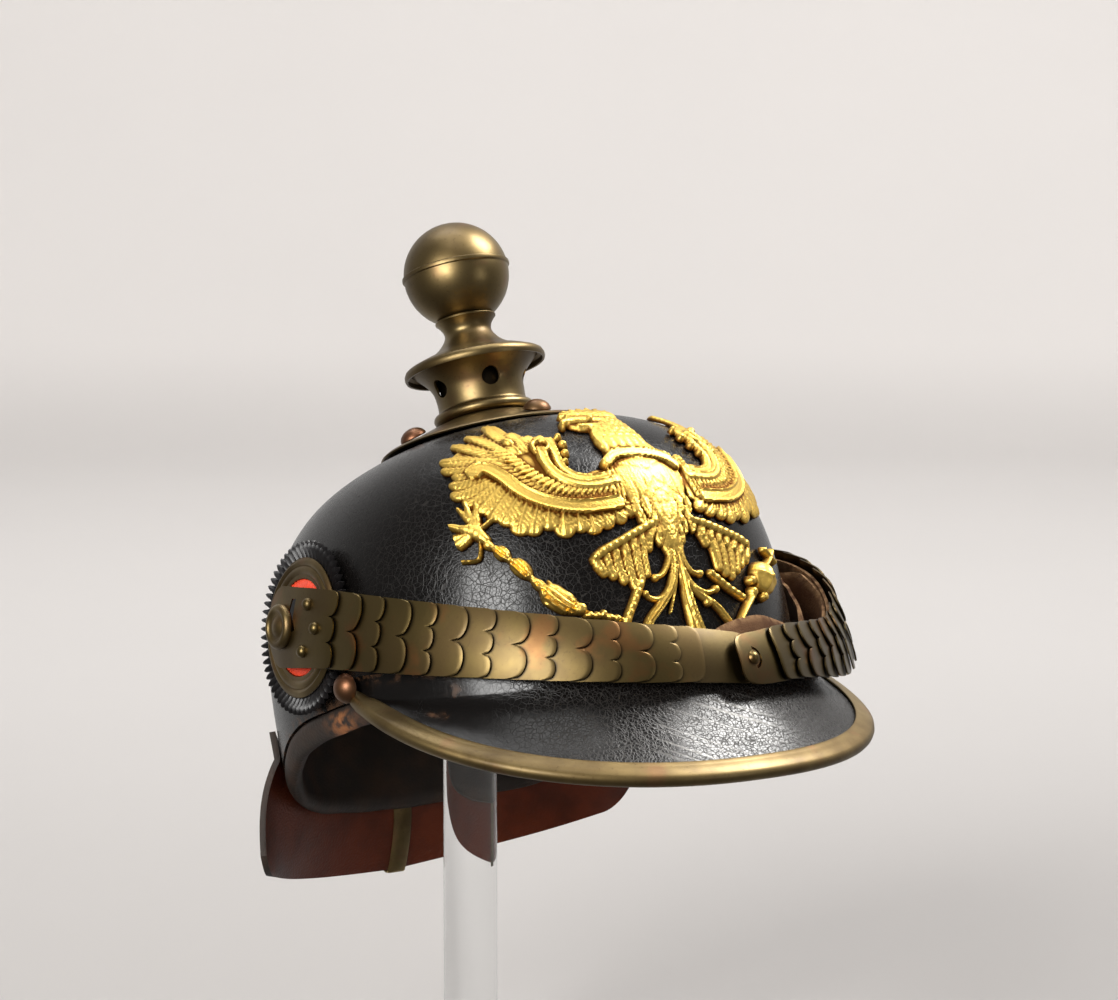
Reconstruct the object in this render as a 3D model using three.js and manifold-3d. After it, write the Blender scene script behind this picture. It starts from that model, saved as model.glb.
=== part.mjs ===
// Pickelhaube with a ball finial on a clear display stand, in millimetres, +Z up.
// The stand is at the origin; the helmet is drawn in its own frame and leans back on the rod:
// its front is towards -Y, the wearer's left towards +X, +Z along the axis of the ball.
import * as THREE from "three";
import Module from "manifold-3d";

const wasm = await Module();
wasm.setup();

// Helmet on its stand.
const LEAN = 19.7; // degrees that the helmet leans back
const HELMET_Y = -45.5; // helmet's origin from the rod
const HELMET_Z = 176; // helmet's origin above the table
const ROD_RADIUS = 11.1;
const BASE_RADIUS = 80;
const BASE_THICK = 12;
const SOCKET = 5;

// Leather body.
const HALF_LENGTH = 110.5;
const HALF_WIDTH = 97.2;
const PLAN_POWER = 2.2; // superellipse of the plan
const CROWN = 103.6; // height of the dome above the rim's level
const CROWN_POWER = 2.87; // superellipse of the side view
const CAP_RISE = 9.5; // extra rise of the crown under the base plate
const CAP_REACH = 0.41;
const AXIS_Y = -4.1; // the ball's axis, ahead of the middle
const LEATHER = 2.5;
const RIM_SIDE = 1.3;
const RIM_BACK = -17;
const RIM_FRONT = -12;
const ROLL = 10; // height of the rolled leather rim
const BAND_HEIGHT = 36; // sweatband above the rim
const VISOR_SPAN = 80; // degrees to each side of the front
const VISOR_OUT = 21;
const VISOR_DROP = -60.5; // level of the edge in the middle
const VISOR_END = 4.8; // level of the edge at the ends
const LIP = 8.5; // leather of the visor that lies on the skull
const TRIM_WIDTH = 7.5;
const REAR_SPAN = 53;
const REAR_OUT = 15;
const REAR_DROP = -49.5;
const REAR_WARP = 8; // old leather curled up towards the wearer's left
const SPINE_WIDTH = 9;

// Top fitting.
const PLATE_RADIUS = 44.3;
const STUD_CIRCLE = 36;
const FLANGE_Z = 134.6;
const FLANGE_RADIUS = 28.8;
const BALL_Z = 173.1;
const BALL_RADIUS = 21.5;
const VENTS = 5;
const VENT_RADIUS = 3.6;

// Sides: place and radii of the cockades, chin scales from the post to the front.
const COCKADE = { psi: 92.5, s: 35, stem: 5, centre: 19.3, ring: 26.4, disc: 33.5, teeth: 20 };
const SCALES = 13; // to each side
const SCALE_WIDTH = { post: 31.5, front: 20 };
const SCALE_THICK = 0.6;
const END_LENGTH = 33; // from the post to the end plate's lobed edge
const FRONT_LENGTH = { right: 27, left: 20 }; // of the front plates that shows
const OVERLAP = 4.5;
const SLOT_RADIUS = 5.1; // of the end plates, round the posts
// Rivets of an end plate: distance from the post, across the chain.
const RIVETS = [[10, 9], [15, 0], [9, -9]];
const STRAP_THICK = 1.7;
const STRAP_HALF = { post: 12, front: 8.5 }; // half widths
const STRAP_TAPER = 120;

function mat(color, roughness, metalness) {
  return new THREE.MeshStandardMaterial({ color, roughness, metalness });
}
const LACQUER = mat(0x17130f, 0.35, 0);
const BAND = mat(0x4a423b, 0.75, 0);
const BRASS = mat(0x84703d, 0.4, 1);
const COPPER = mat(0x7a4a34, 0.4, 1);
const GILT = mat(0xd9a928, 0.3, 1);
const BLACK = mat(0x222020, 0.5, 0);
const RED = mat(0xd83a22, 0.6, 0);
const STRAP = mat(0x6a5242, 0.85, 0);
const CLEAR = mat(0xe6ebec, 0.1, 0);

const V = (x, y, z) => new THREE.Vector3(x, y, z);
const { degToRad: rad, lerp, smoothstep, clamp } = THREE.MathUtils;

const root = new THREE.Group();
const helmet = new THREE.Group();
helmet.position.set(0, HELMET_Y, HELMET_Z);
helmet.rotation.x = -rad(LEAN);
root.add(helmet);

function piece(name, geometry, material, parent = helmet) {
  const mesh = new THREE.Mesh(geometry, material);
  mesh.name = name;
  parent.add(mesh);
}

// One closed body from triangles: drops empty faces and faces the rest outwards.
const cornerKey = (p) => [p.x, p.y, p.z].map((c) => Math.round(c * 2000)).join();
function body(triangles) {
  const kept = triangles.filter((t) => new Set(t.map(cornerKey)).size === 3);
  const volume = kept.reduce((sum, [a, b, c]) => sum + a.dot(b.clone().cross(c)), 0);
  const corners = kept.flatMap(([a, b, c]) => (volume > 0 ? [a, b, c] : [a, c, b]));
  const geometry = new THREE.BufferGeometry().setFromPoints(corners);
  geometry.computeVertexNormals();
  return geometry;
}

function trianglesOf(geometry) {
  const flat = geometry.index ? geometry.toNonIndexed() : geometry;
  const pos = flat.getAttribute("position");
  const corner = (i) => V(0, 0, 0).fromBufferAttribute(pos, i);
  return Array.from({ length: pos.count / 3 }, (_, i) => [0, 1, 2].map((k) => corner(3 * i + k)));
}

// Skin through rings of equal count; an open loft is capped across pairs of ring points.
function loft(rings, loop = false) {
  const n = rings[0].length;
  const tri = [];
  for (let i = 0; i < rings.length - (loop ? 0 : 1); i++) {
    const a = rings[i];
    const b = rings[(i + 1) % rings.length];
    for (let j = 0; j < n; j++) {
      const k = (j + 1) % n;
      tri.push([a[j], b[j], b[k]], [a[j], b[k], a[k]]);
    }
  }
  if (loop) return body(tri);
  for (const ring of [rings[0], [...rings.at(-1)].reverse()]) {
    for (let j = 0; j < (n - 1) / 2; j++) {
      const [p, q, r, s] = [ring[j], ring[j + 1], ring[n - 2 - j], ring[n - 1 - j]];
      tri.push([p, q, r], [p, r, s]);
    }
  }
  return body(tri);
}

// Turned body about Z from a closed outline of [radius, height].
function turned(outline, segments, at = V(0, 0, 0)) {
  const profile = [...outline, outline[0]].map(([r, z]) => new THREE.Vector2(r, z));
  const lathe = new THREE.LatheGeometry(profile, segments).rotateX(Math.PI / 2);
  return body(trianglesOf(lathe.translate(at.x, at.y, at.z)));
}

function stand(geometry, at, normal) {
  geometry.applyQuaternion(new THREE.Quaternion().setFromUnitVectors(V(0, 0, 1), normal));
  return geometry.translate(at.x, at.y, at.z);
}

function toSolid(geometry) {
  const seen = new Map();
  const vertProperties = [];
  const triVerts = [];
  for (const p of trianglesOf(geometry).flat()) {
    const key = cornerKey(p);
    if (!seen.has(key)) {
      seen.set(key, seen.size);
      vertProperties.push(p.x, p.y, p.z);
    }
    triVerts.push(seen.get(key));
  }
  return new wasm.Manifold(
    new wasm.Mesh({
      numProp: 3,
      vertProperties: new Float32Array(vertProperties),
      triVerts: new Uint32Array(triVerts),
    }),
  );
}

function fromSolid(made) {
  const { vertProperties, triVerts, numProp } = made.getMesh();
  const geometry = new THREE.BufferGeometry();
  geometry.setAttribute("position", new THREE.BufferAttribute(vertProperties, numProp));
  geometry.setIndex(new THREE.BufferAttribute(triVerts, 1));
  return body(trianglesOf(geometry));
}

const joined = (list) => fromSolid(list.map(toSolid).reduce((a, b) => a.add(b)));
const cut = (from, list) => fromSolid(list.map(toSolid).reduce((a, b) => a.subtract(b), toSolid(from)));

// The skull's outer surface: psi in degrees from the front towards the wearer's left,
// s the distance up the wall from the rim's level, out the distance off the leather.
// Columns of the meridian: s, height, share of the plan's radius.
const MERIDIAN = [[0, 0, 1]];
const STEPS = 400;
for (let i = 1; i <= STEPS; i++) {
  const t = (i / STEPS) * (Math.PI / 2);
  const share = i === STEPS ? 0 : Math.cos(t) ** (2 / CROWN_POWER);
  const cap = CAP_RISE * Math.max(0, 1 - (share / CAP_REACH) ** 2) ** 2;
  const z = CROWN * Math.sin(t) ** (2 / CROWN_POWER) + cap;
  const [s0, z0, share0] = MERIDIAN.at(-1);
  const radius = (HALF_LENGTH + HALF_WIDTH) / 2;
  MERIDIAN.push([s0 + Math.hypot(z - z0, (share - share0) * radius), z, share]);
}
const S_TOP = MERIDIAN.at(-1)[0];

function dome(s) {
  if (s <= 0) return [s, 1];
  let hi = 1;
  while (hi < STEPS && MERIDIAN[hi][0] < s) hi += 1;
  const [s0, z0, share0] = MERIDIAN[hi - 1];
  const [s1, z1, share1] = MERIDIAN[hi];
  const f = Math.min(1, (s - s0) / (s1 - s0));
  return [lerp(z0, z1, f), lerp(share0, share1, f)];
}

function skin(psi, s) {
  const [z, share] = dome(s);
  const [sn, cs] = [Math.sin(rad(psi)), Math.cos(rad(psi))];
  const k = share / (Math.abs(sn) ** PLAN_POWER + Math.abs(cs) ** PLAN_POWER) ** (1 / PLAN_POWER);
  const shift = AXIS_Y * clamp(z / CROWN, 0, 1) ** 2;
  return V(HALF_WIDTH * sn * k, shift - HALF_LENGTH * cs * k, z);
}

function facing(psi, s) {
  const across = skin(psi + 0.5, s).sub(skin(psi - 0.5, s));
  const up = skin(psi, s + 0.5).sub(skin(psi, s - 0.5));
  return across.cross(up).normalize();
}

const on = (psi, s, out) => skin(psi, s).addScaledVector(facing(psi, s), out);

// A point near (psi, s), moved by millimetres to the side and up the wall.
function near(psi, s, side, up, out) {
  const degree = skin(psi + 0.5, s + up).distanceTo(skin(psi - 0.5, s + up));
  return on(psi + side / degree, s + up, out);
}

function rim(psi) {
  const { y } = skin(psi, 0);
  const back = (RIM_SIDE - RIM_BACK) * smoothstep(y, 15, 105);
  const front = (RIM_SIDE - RIM_FRONT) * smoothstep(-y, 10, 105);
  return RIM_SIDE - back - front;
}

// Rings of a section round the whole rim.
const AROUND = 32;
function aroundRim(section) {
  return Array.from({ length: AROUND }, (_, i) => section((360 * i) / AROUND));
}

// Skull: outer and inner wall joined round the rim.
{
  const shares = [0, 0.18, 0.34, 0.47, 0.57, 0.66]; // rows by share of the way up
  const fromTop = [46, 37, 27, 14]; // rows by distance from the top
  const outerOnly = [2, 5, 7, 9];
  const apex = V(0, AXIS_Y, CROWN + CAP_RISE);
  const under = V(0, AXIS_Y, apex.z - LEATHER);
  const rings = aroundRim((psi) => {
    const rows = [...shares.map((f) => lerp(rim(psi), S_TOP, f)), ...fromTop.map((d) => S_TOP - d)];
    const inner = rows.filter((_, i) => !outerOnly.includes(i)).map((s) => on(psi, s, -LEATHER));
    return [...rows.map((s) => skin(psi, s)), apex, under, ...inner.reverse()];
  });
  piece("skull", loft(rings, true), LACQUER);
}

// Sweatband: a thin lining inside the skull that rolls outwards under its edge.
{
  // columns: distance off the skull's outside, height above the rim
  const section = [
    [-3.7, BAND_HEIGHT], [-3.4, -0.5], [-0.8, -0.5], [-0.4, -5.5],
    [-3.2, -ROLL], [-6.6, -6.5], [-5.2, BAND_HEIGHT],
  ];
  const rings = aroundRim((psi) => section.map(([out, h]) => on(psi, rim(psi) + h, out)));
  piece("sweatband", loft(rings, true), BAND);
}

// Visors: mid-surfaces by a (along the edge, -1 to 1) and b (0 at the lip, 1 at the edge).
const LIP_SHARE = 0.25;
function bent({ psi, top, bend, out, drop, off }, b) {
  if (b < LIP_SHARE) return on(psi, lerp(top, bend, b / LIP_SHARE), off);
  const t = (b - LIP_SHARE) / (1 - LIP_SHARE);
  const fall = 0.9 * t + 0.1 * t * t;
  return on(psi, lerp(bend, drop, fall), off + out * (0.3 * t + 0.7 * t * t));
}

const LIP_OFF = LEATHER / 2 + 0.5;
function frontVisor(a, b) {
  const psi = VISOR_SPAN * a;
  const w = Math.abs(a);
  const drop = lerp(VISOR_DROP, VISOR_END, 1.15 * w ** 2.4 - 0.15 * w ** 8);
  const bend = Math.max(rim(psi) - 2, drop + 1);
  const out = VISOR_OUT * (1 - w ** 5);
  return bent({ psi, top: rim(psi) + LIP, bend, out, drop, off: LIP_OFF + 1.3 * w ** 6 }, b);
}

function rearVisor(a, b) {
  const psi = 180 + REAR_SPAN * a;
  const w = Math.abs(a);
  const rounded = 7 * Math.max(0, (w - 0.88) / 0.12) ** 2;
  const drop = REAR_DROP + rounded + REAR_WARP * Math.max(0, -a);
  const out = REAR_OUT - 2.5 * Math.max(0, a);
  return bent({ psi, top: lerp(-8, 6, w * w), bend: rim(psi) - 4, out, drop, off: LIP_OFF }, b);
}

// A point n off a visor's mid-surface.
function sheetPoint(sheet, a, b, n) {
  const e = 0.002;
  const along = sheet(Math.min(1, a + e), b).sub(sheet(Math.max(-1, a - e), b));
  const across = sheet(a, Math.min(1, b + e)).sub(sheet(a, Math.max(0, b - e)));
  return sheet(a, b).addScaledVector(across.cross(along).normalize(), n);
}

// Stations along a visor, closer together towards its ends.
function stations(count) {
  return Array.from({ length: count + 1 }, (_, i) => Math.sin(Math.PI * (i / count - 0.5)));
}

function visorBody(sheet, count) {
  const down = [0, LIP_SHARE, 0.5, 0.76, 1];
  const rings = stations(count).map((a) => {
    const face = (n) => down.map((b) => sheetPoint(sheet, a, b, n));
    return [...face(LEATHER / 2), ...face(-LEATHER / 2).reverse()];
  });
  return loft(rings);
}
const VISOR_STEPS = 22;
piece("front_visor", visorBody(frontVisor, VISOR_STEPS), LACQUER);
piece("rear_visor", visorBody(rearVisor, 14), LACQUER);

// Lengths of a visor's two stretches at a: the lip on the skull and the fall to the edge.
function stretches(sheet, a) {
  const fold = sheet(a, LIP_SHARE);
  return { lip: sheet(a, 0).distanceTo(fold), fall: fold.distanceTo(sheet(a, 1)) };
}

// A point near a visor's edge: w inwards from the edge along the leather, n off its mid-surface.
function edgePoint(sheet, a, w, n) {
  const { lip, fall } = stretches(sheet, a);
  const b = w < fall ? 1 - ((1 - LIP_SHARE) * w) / fall : LIP_SHARE * Math.max(0, 1 - (w - fall) / lip);
  if (w >= 0) return sheetPoint(sheet, a, b, n);
  const away = sheet(a, 1).sub(sheet(a, 0.97)).normalize();
  return sheetPoint(sheet, a, 1, n).addScaledVector(away, -w);
}

// Brass channel round the front visor's edge.
{
  const rings = stations(VISOR_STEPS).map((station) => {
    const a = 0.98 * station;
    const under = Math.min(4, 0.5 * stretches(frontVisor, a).fall);
    // columns: distance inwards from the edge, distance off the leather's middle
    const section = [
      [TRIM_WIDTH, 2.5], [-0.6, 2.5], [-1.6, 0], [-0.6, -2.5],
      [under, -2.5], [under, -1.8], [-0.6, -1.8], [-0.6, 1.8], [TRIM_WIDTH, 1.8],
    ];
    return section.map(([w, n]) => edgePoint(frontVisor, a, w, n));
  });
  piece("front_visor_trim", loft(rings), BRASS);
}

const domeHead = (r, h, sides = 10) =>
  turned([[0, 0], [r, 0], [r, 0.25 * h], [0.72 * r, 0.78 * h], [0, h]], sides);

for (const [side, psi] of [["right", -78.5], ["left", 78.5]]) {
  const head = stand(domeHead(5.2, 4.6), on(psi, 5, 7.7), facing(psi, 5));
  piece("trim_stud_" + side, head, COPPER);
}

// Brass strip down the back, over the rear visor and folded under it.
{
  const gap = 1.3;
  const face = LEATHER / 2 + gap;
  const path = [];
  const { lip, fall } = stretches(rearVisor, 0);
  for (let i = 0; i <= 16; i++) path.push(on(180, lerp(S_TOP - PLATE_RADIUS - 3, -2, i / 16), gap));
  path.push(on(180, -6, LIP_OFF + face - 0.5));
  for (const f of [0.98, 0.7, 0.45, 0.22, 0.03]) path.push(edgePoint(rearVisor, 0, (lip + fall) * f, face));
  path.push(edgePoint(rearVisor, 0, -1.2, 0.6 * face), edgePoint(rearVisor, 0, -1.2, -0.6 * face));
  for (const w of [1, 8, 15]) path.push(edgePoint(rearVisor, 0, w, -face));
  const rings = path.map((p, i) => {
    const run = path[Math.min(i + 1, path.length - 1)].clone().sub(path[Math.max(i - 1, 0)]).normalize();
    const off = V(0, run.z, -run.y).multiplyScalar(0.4);
    const corner = (x, k) => p.clone().addScaledVector(off, k).setX((x * SPINE_WIDTH) / 2);
    return [corner(-1, 1), corner(1, 1), corner(1, -1), corner(-1, -1)];
  });
  piece("rear_spine", loft(rings), BRASS);
}

// Top fitting, turned about the ball's axis.
const AXIS = V(0, AXIS_Y, 0);
const TURNED_SIDES = 16;
function crown(r) {
  let s = S_TOP;
  while (AXIS_Y - skin(0, s).y < r && s > 60) s -= 0.25;
  return dome(s)[0];
}
{
  const radii = [12, 21, 29, 37, PLATE_RADIUS];
  const under = radii.map((r) => [r, crown(r) + 0.8]);
  const over = radii.map((r) => [r, crown(r) + 1.8]).reverse();
  piece("base_plate", turned([...under, ...over], TURNED_SIDES, AXIS), BRASS);
  for (const [i, name] of ["front", "left", "back", "right"].entries()) {
    const psi = rad(90 * i);
    const slope = (crown(STUD_CIRCLE - 2) - crown(STUD_CIRCLE + 2)) / 4;
    const out = V(Math.sin(psi), -Math.cos(psi), 0);
    const at = out.clone().multiplyScalar(STUD_CIRCLE).add(V(0, AXIS_Y, crown(STUD_CIRCLE) + 2.5));
    const head = stand(domeHead(5.4, 4.2), at, V(out.x * slope, out.y * slope, 1).normalize());
    piece("base_stud_" + name, head, COPPER);
  }
}

// Vent collar: bead at the foot, flared top, round holes.
{
  const foot = crown(18) + 2.2;
  // columns: outer radius, inner radius, height above the foot
  const rows = [
    [18.8, 17, 0], [20.4, 17, 2.2], [18, 17, 5.2], [18, 17, 9],
    [19.4, 18.3, 15], [26, 24.9, FLANGE_Z - foot + 0.3],
  ];
  const outside = rows.map(([r, , h]) => [r, foot + h]);
  const inside = rows.map(([, r, h], i) => [r, foot + h + (i > 3 ? 0.7 : 0)]).reverse();
  const holes = Array.from({ length: VENTS }, (_, i) => {
    const psi = rad(-18 + (360 * i) / VENTS);
    const out = V(Math.sin(psi), -Math.cos(psi), 0);
    const drill = turned([[0, 0], [VENT_RADIUS, 0], [VENT_RADIUS, 16], [0, 16]], 7);
    return stand(drill, out.clone().multiplyScalar(12).add(V(0, AXIS_Y, foot + 13.4)), out);
  });
  piece("vent_collar", cut(turned([...outside, ...inside], TURNED_SIDES, AXIS), holes), BRASS);
}

// Collar cap: flange with a turned-down hem, waisted neck and the ball's cup.
{
  // columns: outer radius, inner radius, height above the flange, of the inside too
  const rows = [
    [FLANGE_RADIUS - 0.2, FLANGE_RADIUS - 1.1, -2, -2], [FLANGE_RADIUS, FLANGE_RADIUS - 1, 0, 0.3],
    [FLANGE_RADIUS - 1.2, FLANGE_RADIUS - 1.8, 1.8, 1], [23, 23, 4.1, 3.1], [14.5, 14.2, 7.6, 6.6],
    [10.5, 9.6, 12, 11.4], [10, 9.1, 14.6, 14.6], [11.9, 9.2, 18.4, 17.4], [11.7, 9.4, 19.6, 18.4],
  ];
  const outside = rows.map(([r, , h]) => [r, FLANGE_Z + h]);
  const inside = rows.map(([, r, , h]) => [r, FLANGE_Z + h]).reverse();
  piece("collar_cap", turned([...outside, ...inside], TURNED_SIDES, AXIS), BRASS);
}

// Ball: hollow, open to the neck below, with a seam band above its middle.
{
  const arc = (r, from, to, n) =>
    Array.from({ length: n + 1 }, (_, i) => {
      const t = rad(lerp(from, to, i / n));
      return [i === n && to === 90 ? 0 : r * Math.cos(t), BALL_Z + r * Math.sin(t)];
    });
  const band = [[BALL_RADIUS + 0.7, BALL_Z + 0.5], [BALL_RADIUS + 0.7, BALL_Z + 2]];
  const outside = [...arc(BALL_RADIUS, -74, 0, 4), ...band, ...arc(BALL_RADIUS, 7, 90, 4)];
  const inside = arc(BALL_RADIUS - 1.8, -72, 90, 4).reverse();
  piece("ball", turned([...outside, ...inside], TURNED_SIDES, AXIS), BRASS);
}

// Cockades: fluted disc, ring and centre, bent to the side of the skull.
for (const [name, sign] of [["right", -1], ["left", 1]]) {
  // columns of an outline: radius, distance off the skull, share of the flute's depth
  const fluted = (outline, count, depth = 0) => {
    const rings = Array.from({ length: count }, (_, i) => {
      const t = (2 * Math.PI * i) / count;
      return outline.map(([radius, out, flute = 0]) => {
        const r = radius - (i % 2 ? depth * flute : 0);
        return near(sign * COCKADE.psi, COCKADE.s, r * Math.cos(t), r * Math.sin(t), out);
      });
    });
    return loft(rings, true);
  };
  const { stem, centre, ring, disc, teeth } = COCKADE;
  const back = [[stem, 0.9], [20, 0.9], [disc, 0.9, 1], [disc, 1.8, 1], [ring, 2.8], [stem, 1.9]];
  piece("cockade_disc_" + name, fluted(back, teeth * 2, 1.6), BLACK);
  const bezel = [[centre, 3], [ring + 0.4, 3.4], [ring - 3.6, 4.9], [centre, 4]];
  piece("cockade_ring_" + name, fluted(bezel, 20), BRASS);
  const button = [[stem, 2.3], [centre - 1, 3.3, 1], [centre - 0.6, 4, 1], [stem, 4.6]];
  piece("cockade_centre_" + name, fluted(button, 24, 0.8), RED);
}

// Chin scales: the paths that their undersides follow, from behind the post to the front.
// Columns: psi, s, distance off the skull.
const PATHS = {
  right: [
    [-106, 41.5, 8.6], [-92.5, 35, 8.6], [-80, 28.7, 8.6], [-68, 21, 7.4], [-55, 12.4, 6.8],
    [-42, 4.2, 6.8], [-28, -3.6, 7], [-14, -9.2, 7], [0, -12.6, 7], [11, -15.2, 7],
  ],
  left: [
    [106, 41.5, 8.6], [92.5, 35, 8.6], [82, 31, 12], [72, 23, 17.4], [62, 11, 19.7],
    [54, -1, 18.9], [46, -8.8, 14.9], [38, -11.5, 11.9], [29, -12.8, 10.3],
    [20, -13.8, 10], [10, -15.5, 10.4], [4, -15.6, 11.4],
  ],
};
const PATH_ROWS = { right: [2, 8], left: [2, 6] }; // rows that the leather follows
// Slack of the right strap, folded to and fro behind the left scales; same columns.
const SLACK = [
  [4.5, -7, 4.6], [10.1, -4.8, 5.2], [15.4, -2.8, 5.8], [22, 0, 5.8], [28, 1.5, 6.2], [32, 4.5, 6.6],
  [34.3, 8, 6], [35.6, 11, 4.6], [38.2, 14.5, 3.6], [42.4, 17, 3.6], [46.8, 17, 5.2], [50.8, 15, 8.4],
  [51.5, 11.5, 11.6], [48, 8, 12], [42, 6, 10.6], [36, 3.5, 9.2], [29, -1, 8], [21, -5, 7.6],
  [16.5, -7, 7.4],
];

// A path with its own frame: w along it, q across it upwards, n off the helmet.
const TIP = 0.12; // inward lean of the scales' upper edge
function route(points, sign) {
  const curve = new THREE.CatmullRomCurve3(points);
  curve.arcLengthDivisions = STEPS;
  const length = curve.getLength();
  const at = (w, q, n) => {
    const u = clamp(w / length, 0, 1);
    const t = curve.getTangentAt(u);
    const off = t.clone().cross(V(0, 0, 1)).normalize().multiplyScalar(sign);
    const up = V(0, 0, 1).addScaledVector(t, -t.z).normalize().addScaledVector(off, -TIP).normalize();
    const face = t.clone().cross(up).normalize().multiplyScalar(sign);
    return curve.getPointAt(u).addScaledVector(up, q).addScaledVector(face, n);
  };
  const closest = (p) => {
    const steps = Array.from({ length: STEPS + 1 }, (_, i) => (length * i) / STEPS);
    const gap = (w) => at(w, 0, 0).distanceTo(p);
    return steps.reduce((best, w) => (gap(w) < gap(best) ? w : best));
  };
  return { at, length, closest };
}

// One plate on a chain from w0 to its free edge near w1 with the given lobes.
function plate(chain, { w0, w1, lobes, lift, rise, rows = 1 }) {
  const count = 6;
  const rings = Array.from({ length: count + 1 }, (_, j) => {
    const v = -1 + (2 * j) / count;
    const wave = lobes > 1 ? Math.abs(Math.sin((Math.PI * lobes * (v + 1)) / 2)) : 1 - v * v;
    const edge = w1 + (lobes > 1 ? 3 * wave - 1.5 * v * v : 5 * wave - 5);
    const arch = 1.1 * (1 - v * v);
    const corner = (w, n) => chain.at(w, (v * chain.width(w)) / 2, n + lift + rise * (w - w0) + arch);
    const down = Array.from({ length: rows + 1 }, (_, i) => lerp(w0, edge, i / rows));
    return [...down.map((w) => corner(w, 0)), ...down.reverse().map((w) => corner(w, SCALE_THICK))];
  });
  return loft(rings);
}

for (const [side, sign] of [["right", 1], ["left", -1]]) {
  const path = route(PATHS[side].map((row) => on(...row)), sign);
  const post = on(-sign * COCKADE.psi, COCKADE.s, 8.6);
  const start = path.closest(post);
  const length = path.length - start;
  const chain = {
    at: (w, q, n) => path.at(start + w, q, n),
    width: (w) => lerp(SCALE_WIDTH.post, SCALE_WIDTH.front, clamp(w / length, 0, 1)),
  };
  const front = FRONT_LENGTH[side];
  const pitch = (length - END_LENGTH - front) / SCALES;
  const rise = (SCALE_THICK + 0.95) / pitch;
  const face = (w) => chain.at(w, 0, 1).sub(chain.at(w, 0, 0)).normalize();

  // End plate: slot round the post and three rivets.
  const end = plate(chain, { w0: -9, w1: END_LENGTH, lobes: 3, lift: 0.9, rise: 0.035, rows: 4 });
  const rivet = ([w, q]) => stand(domeHead(2.2, 2, 6), chain.at(w, q, 2), face(w));
  const drill = turned([[0, -6], [SLOT_RADIUS, -6], [SLOT_RADIUS, 6], [0, 6]], 12);
  const slot = stand(drill, chain.at(0, 0, 2), face(0));
  piece("end_plate_" + side, cut(joined([end, ...RIVETS.map(rivet)]), [slot]), BRASS);

  for (let k = 1; k <= SCALES; k++) {
    const lobes = k === SCALES ? 1 : 2 + ((k + 1) % 2);
    const w1 = END_LENGTH + k * pitch;
    const scale = plate(chain, { w0: w1 - pitch - OVERLAP, w1, lobes, lift: 0.35, rise });
    piece("scale_" + side + "_" + String(k).padStart(2, "0"), scale, BRASS);
  }

  const w0 = length - front - OVERLAP;
  const last = plate(chain, { w0, w1: length, lobes: 1, lift: 0.35, rise: 0, rows: 3 });
  const button = stand(domeHead(1.9, 1.8, 8), chain.at(length - 7, 0, 1.6), face(length - 7));
  piece("front_plate_" + side, side === "left" ? joined([last, button]) : last, BRASS);

  // Post: stem through the cockade and the slot, with a round knob.
  const stem = 12.4;
  const profile = [
    [0, 0], [3, 0], [3, stem], [7.8, stem], [8.8, stem + 1.8],
    [7.2, stem + 3.6], [4.6, stem + 2.8], [0, stem + 4],
  ];
  const knob = turned(profile, 10);
  const seat = on(-sign * COCKADE.psi, COCKADE.s, 0.5);
  piece("scale_post_" + side, stand(knob, seat, facing(-sign * COCKADE.psi, COCKADE.s)), BRASS);

  // Leather under the scales.
  const below = PATHS[side].slice(...PATH_ROWS[side]).map(([psi, s, out]) => on(psi, s, out - 1.2));
  const slack = side === "right" ? SLACK.map((row) => on(...row)) : [];
  const strap = route([...below, ...slack], sign);
  const steps = side === "right" ? 48 : 12;
  const rings = Array.from({ length: steps + 1 }, (_, i) => {
    const w = (strap.length * i) / steps;
    const half = lerp(STRAP_HALF.post, STRAP_HALF.front, clamp(w / STRAP_TAPER, 0, 1));
    const corner = (q, n) => strap.at(w, q * half, (n * STRAP_THICK) / 2);
    return [corner(-1, -1), corner(1, -1), corner(1, 1), corner(-1, 1)];
  });
  piece("strap_" + side, loft(rings), STRAP);
}

// Helmet plate: ribbons and fans in relief laid on the skull and joined into one pierced plate.
const PLATE_OFF = 0.95;
const RIBBON_STEP = 18;
function ribbon(line, w0, w1, w2, h) {
  const curve = new THREE.CatmullRomCurve3(line.map(([psi, s]) => V(psi, s, 0)));
  const span = line.slice(1).reduce((sum, [psi, s], i) => sum + skin(psi, s).distanceTo(skin(...line[i])), 0);
  const count = Math.max(2, Math.ceil(span / RIBBON_STEP));
  const wide = Math.max(w0, w1, w2) > 12;
  const rings = Array.from({ length: count + 1 }, (_, i) => {
    const f = i / count;
    const c = curve.getPoint(f);
    const t = curve.getTangent(f);
    const degree = skin(c.x + 0.5, c.y).distanceTo(skin(c.x - 0.5, c.y));
    const run = V(t.x * degree, t.y, 0).normalize();
    const half = (f < 0.5 ? lerp(w0, w1, 2 * f) : lerp(w1, w2, 2 * f - 1)) / 2;
    const at = (q, n) => near(c.x, c.y, -run.y * q * half, run.x * q * half, PLATE_OFF + n);
    const ring = [at(-1, 0), at(-0.5, h), at(0.5, h), at(1, 0)];
    return wide ? [...ring, at(0, 0)] : ring;
  });
  return loft(rings);
}

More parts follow.
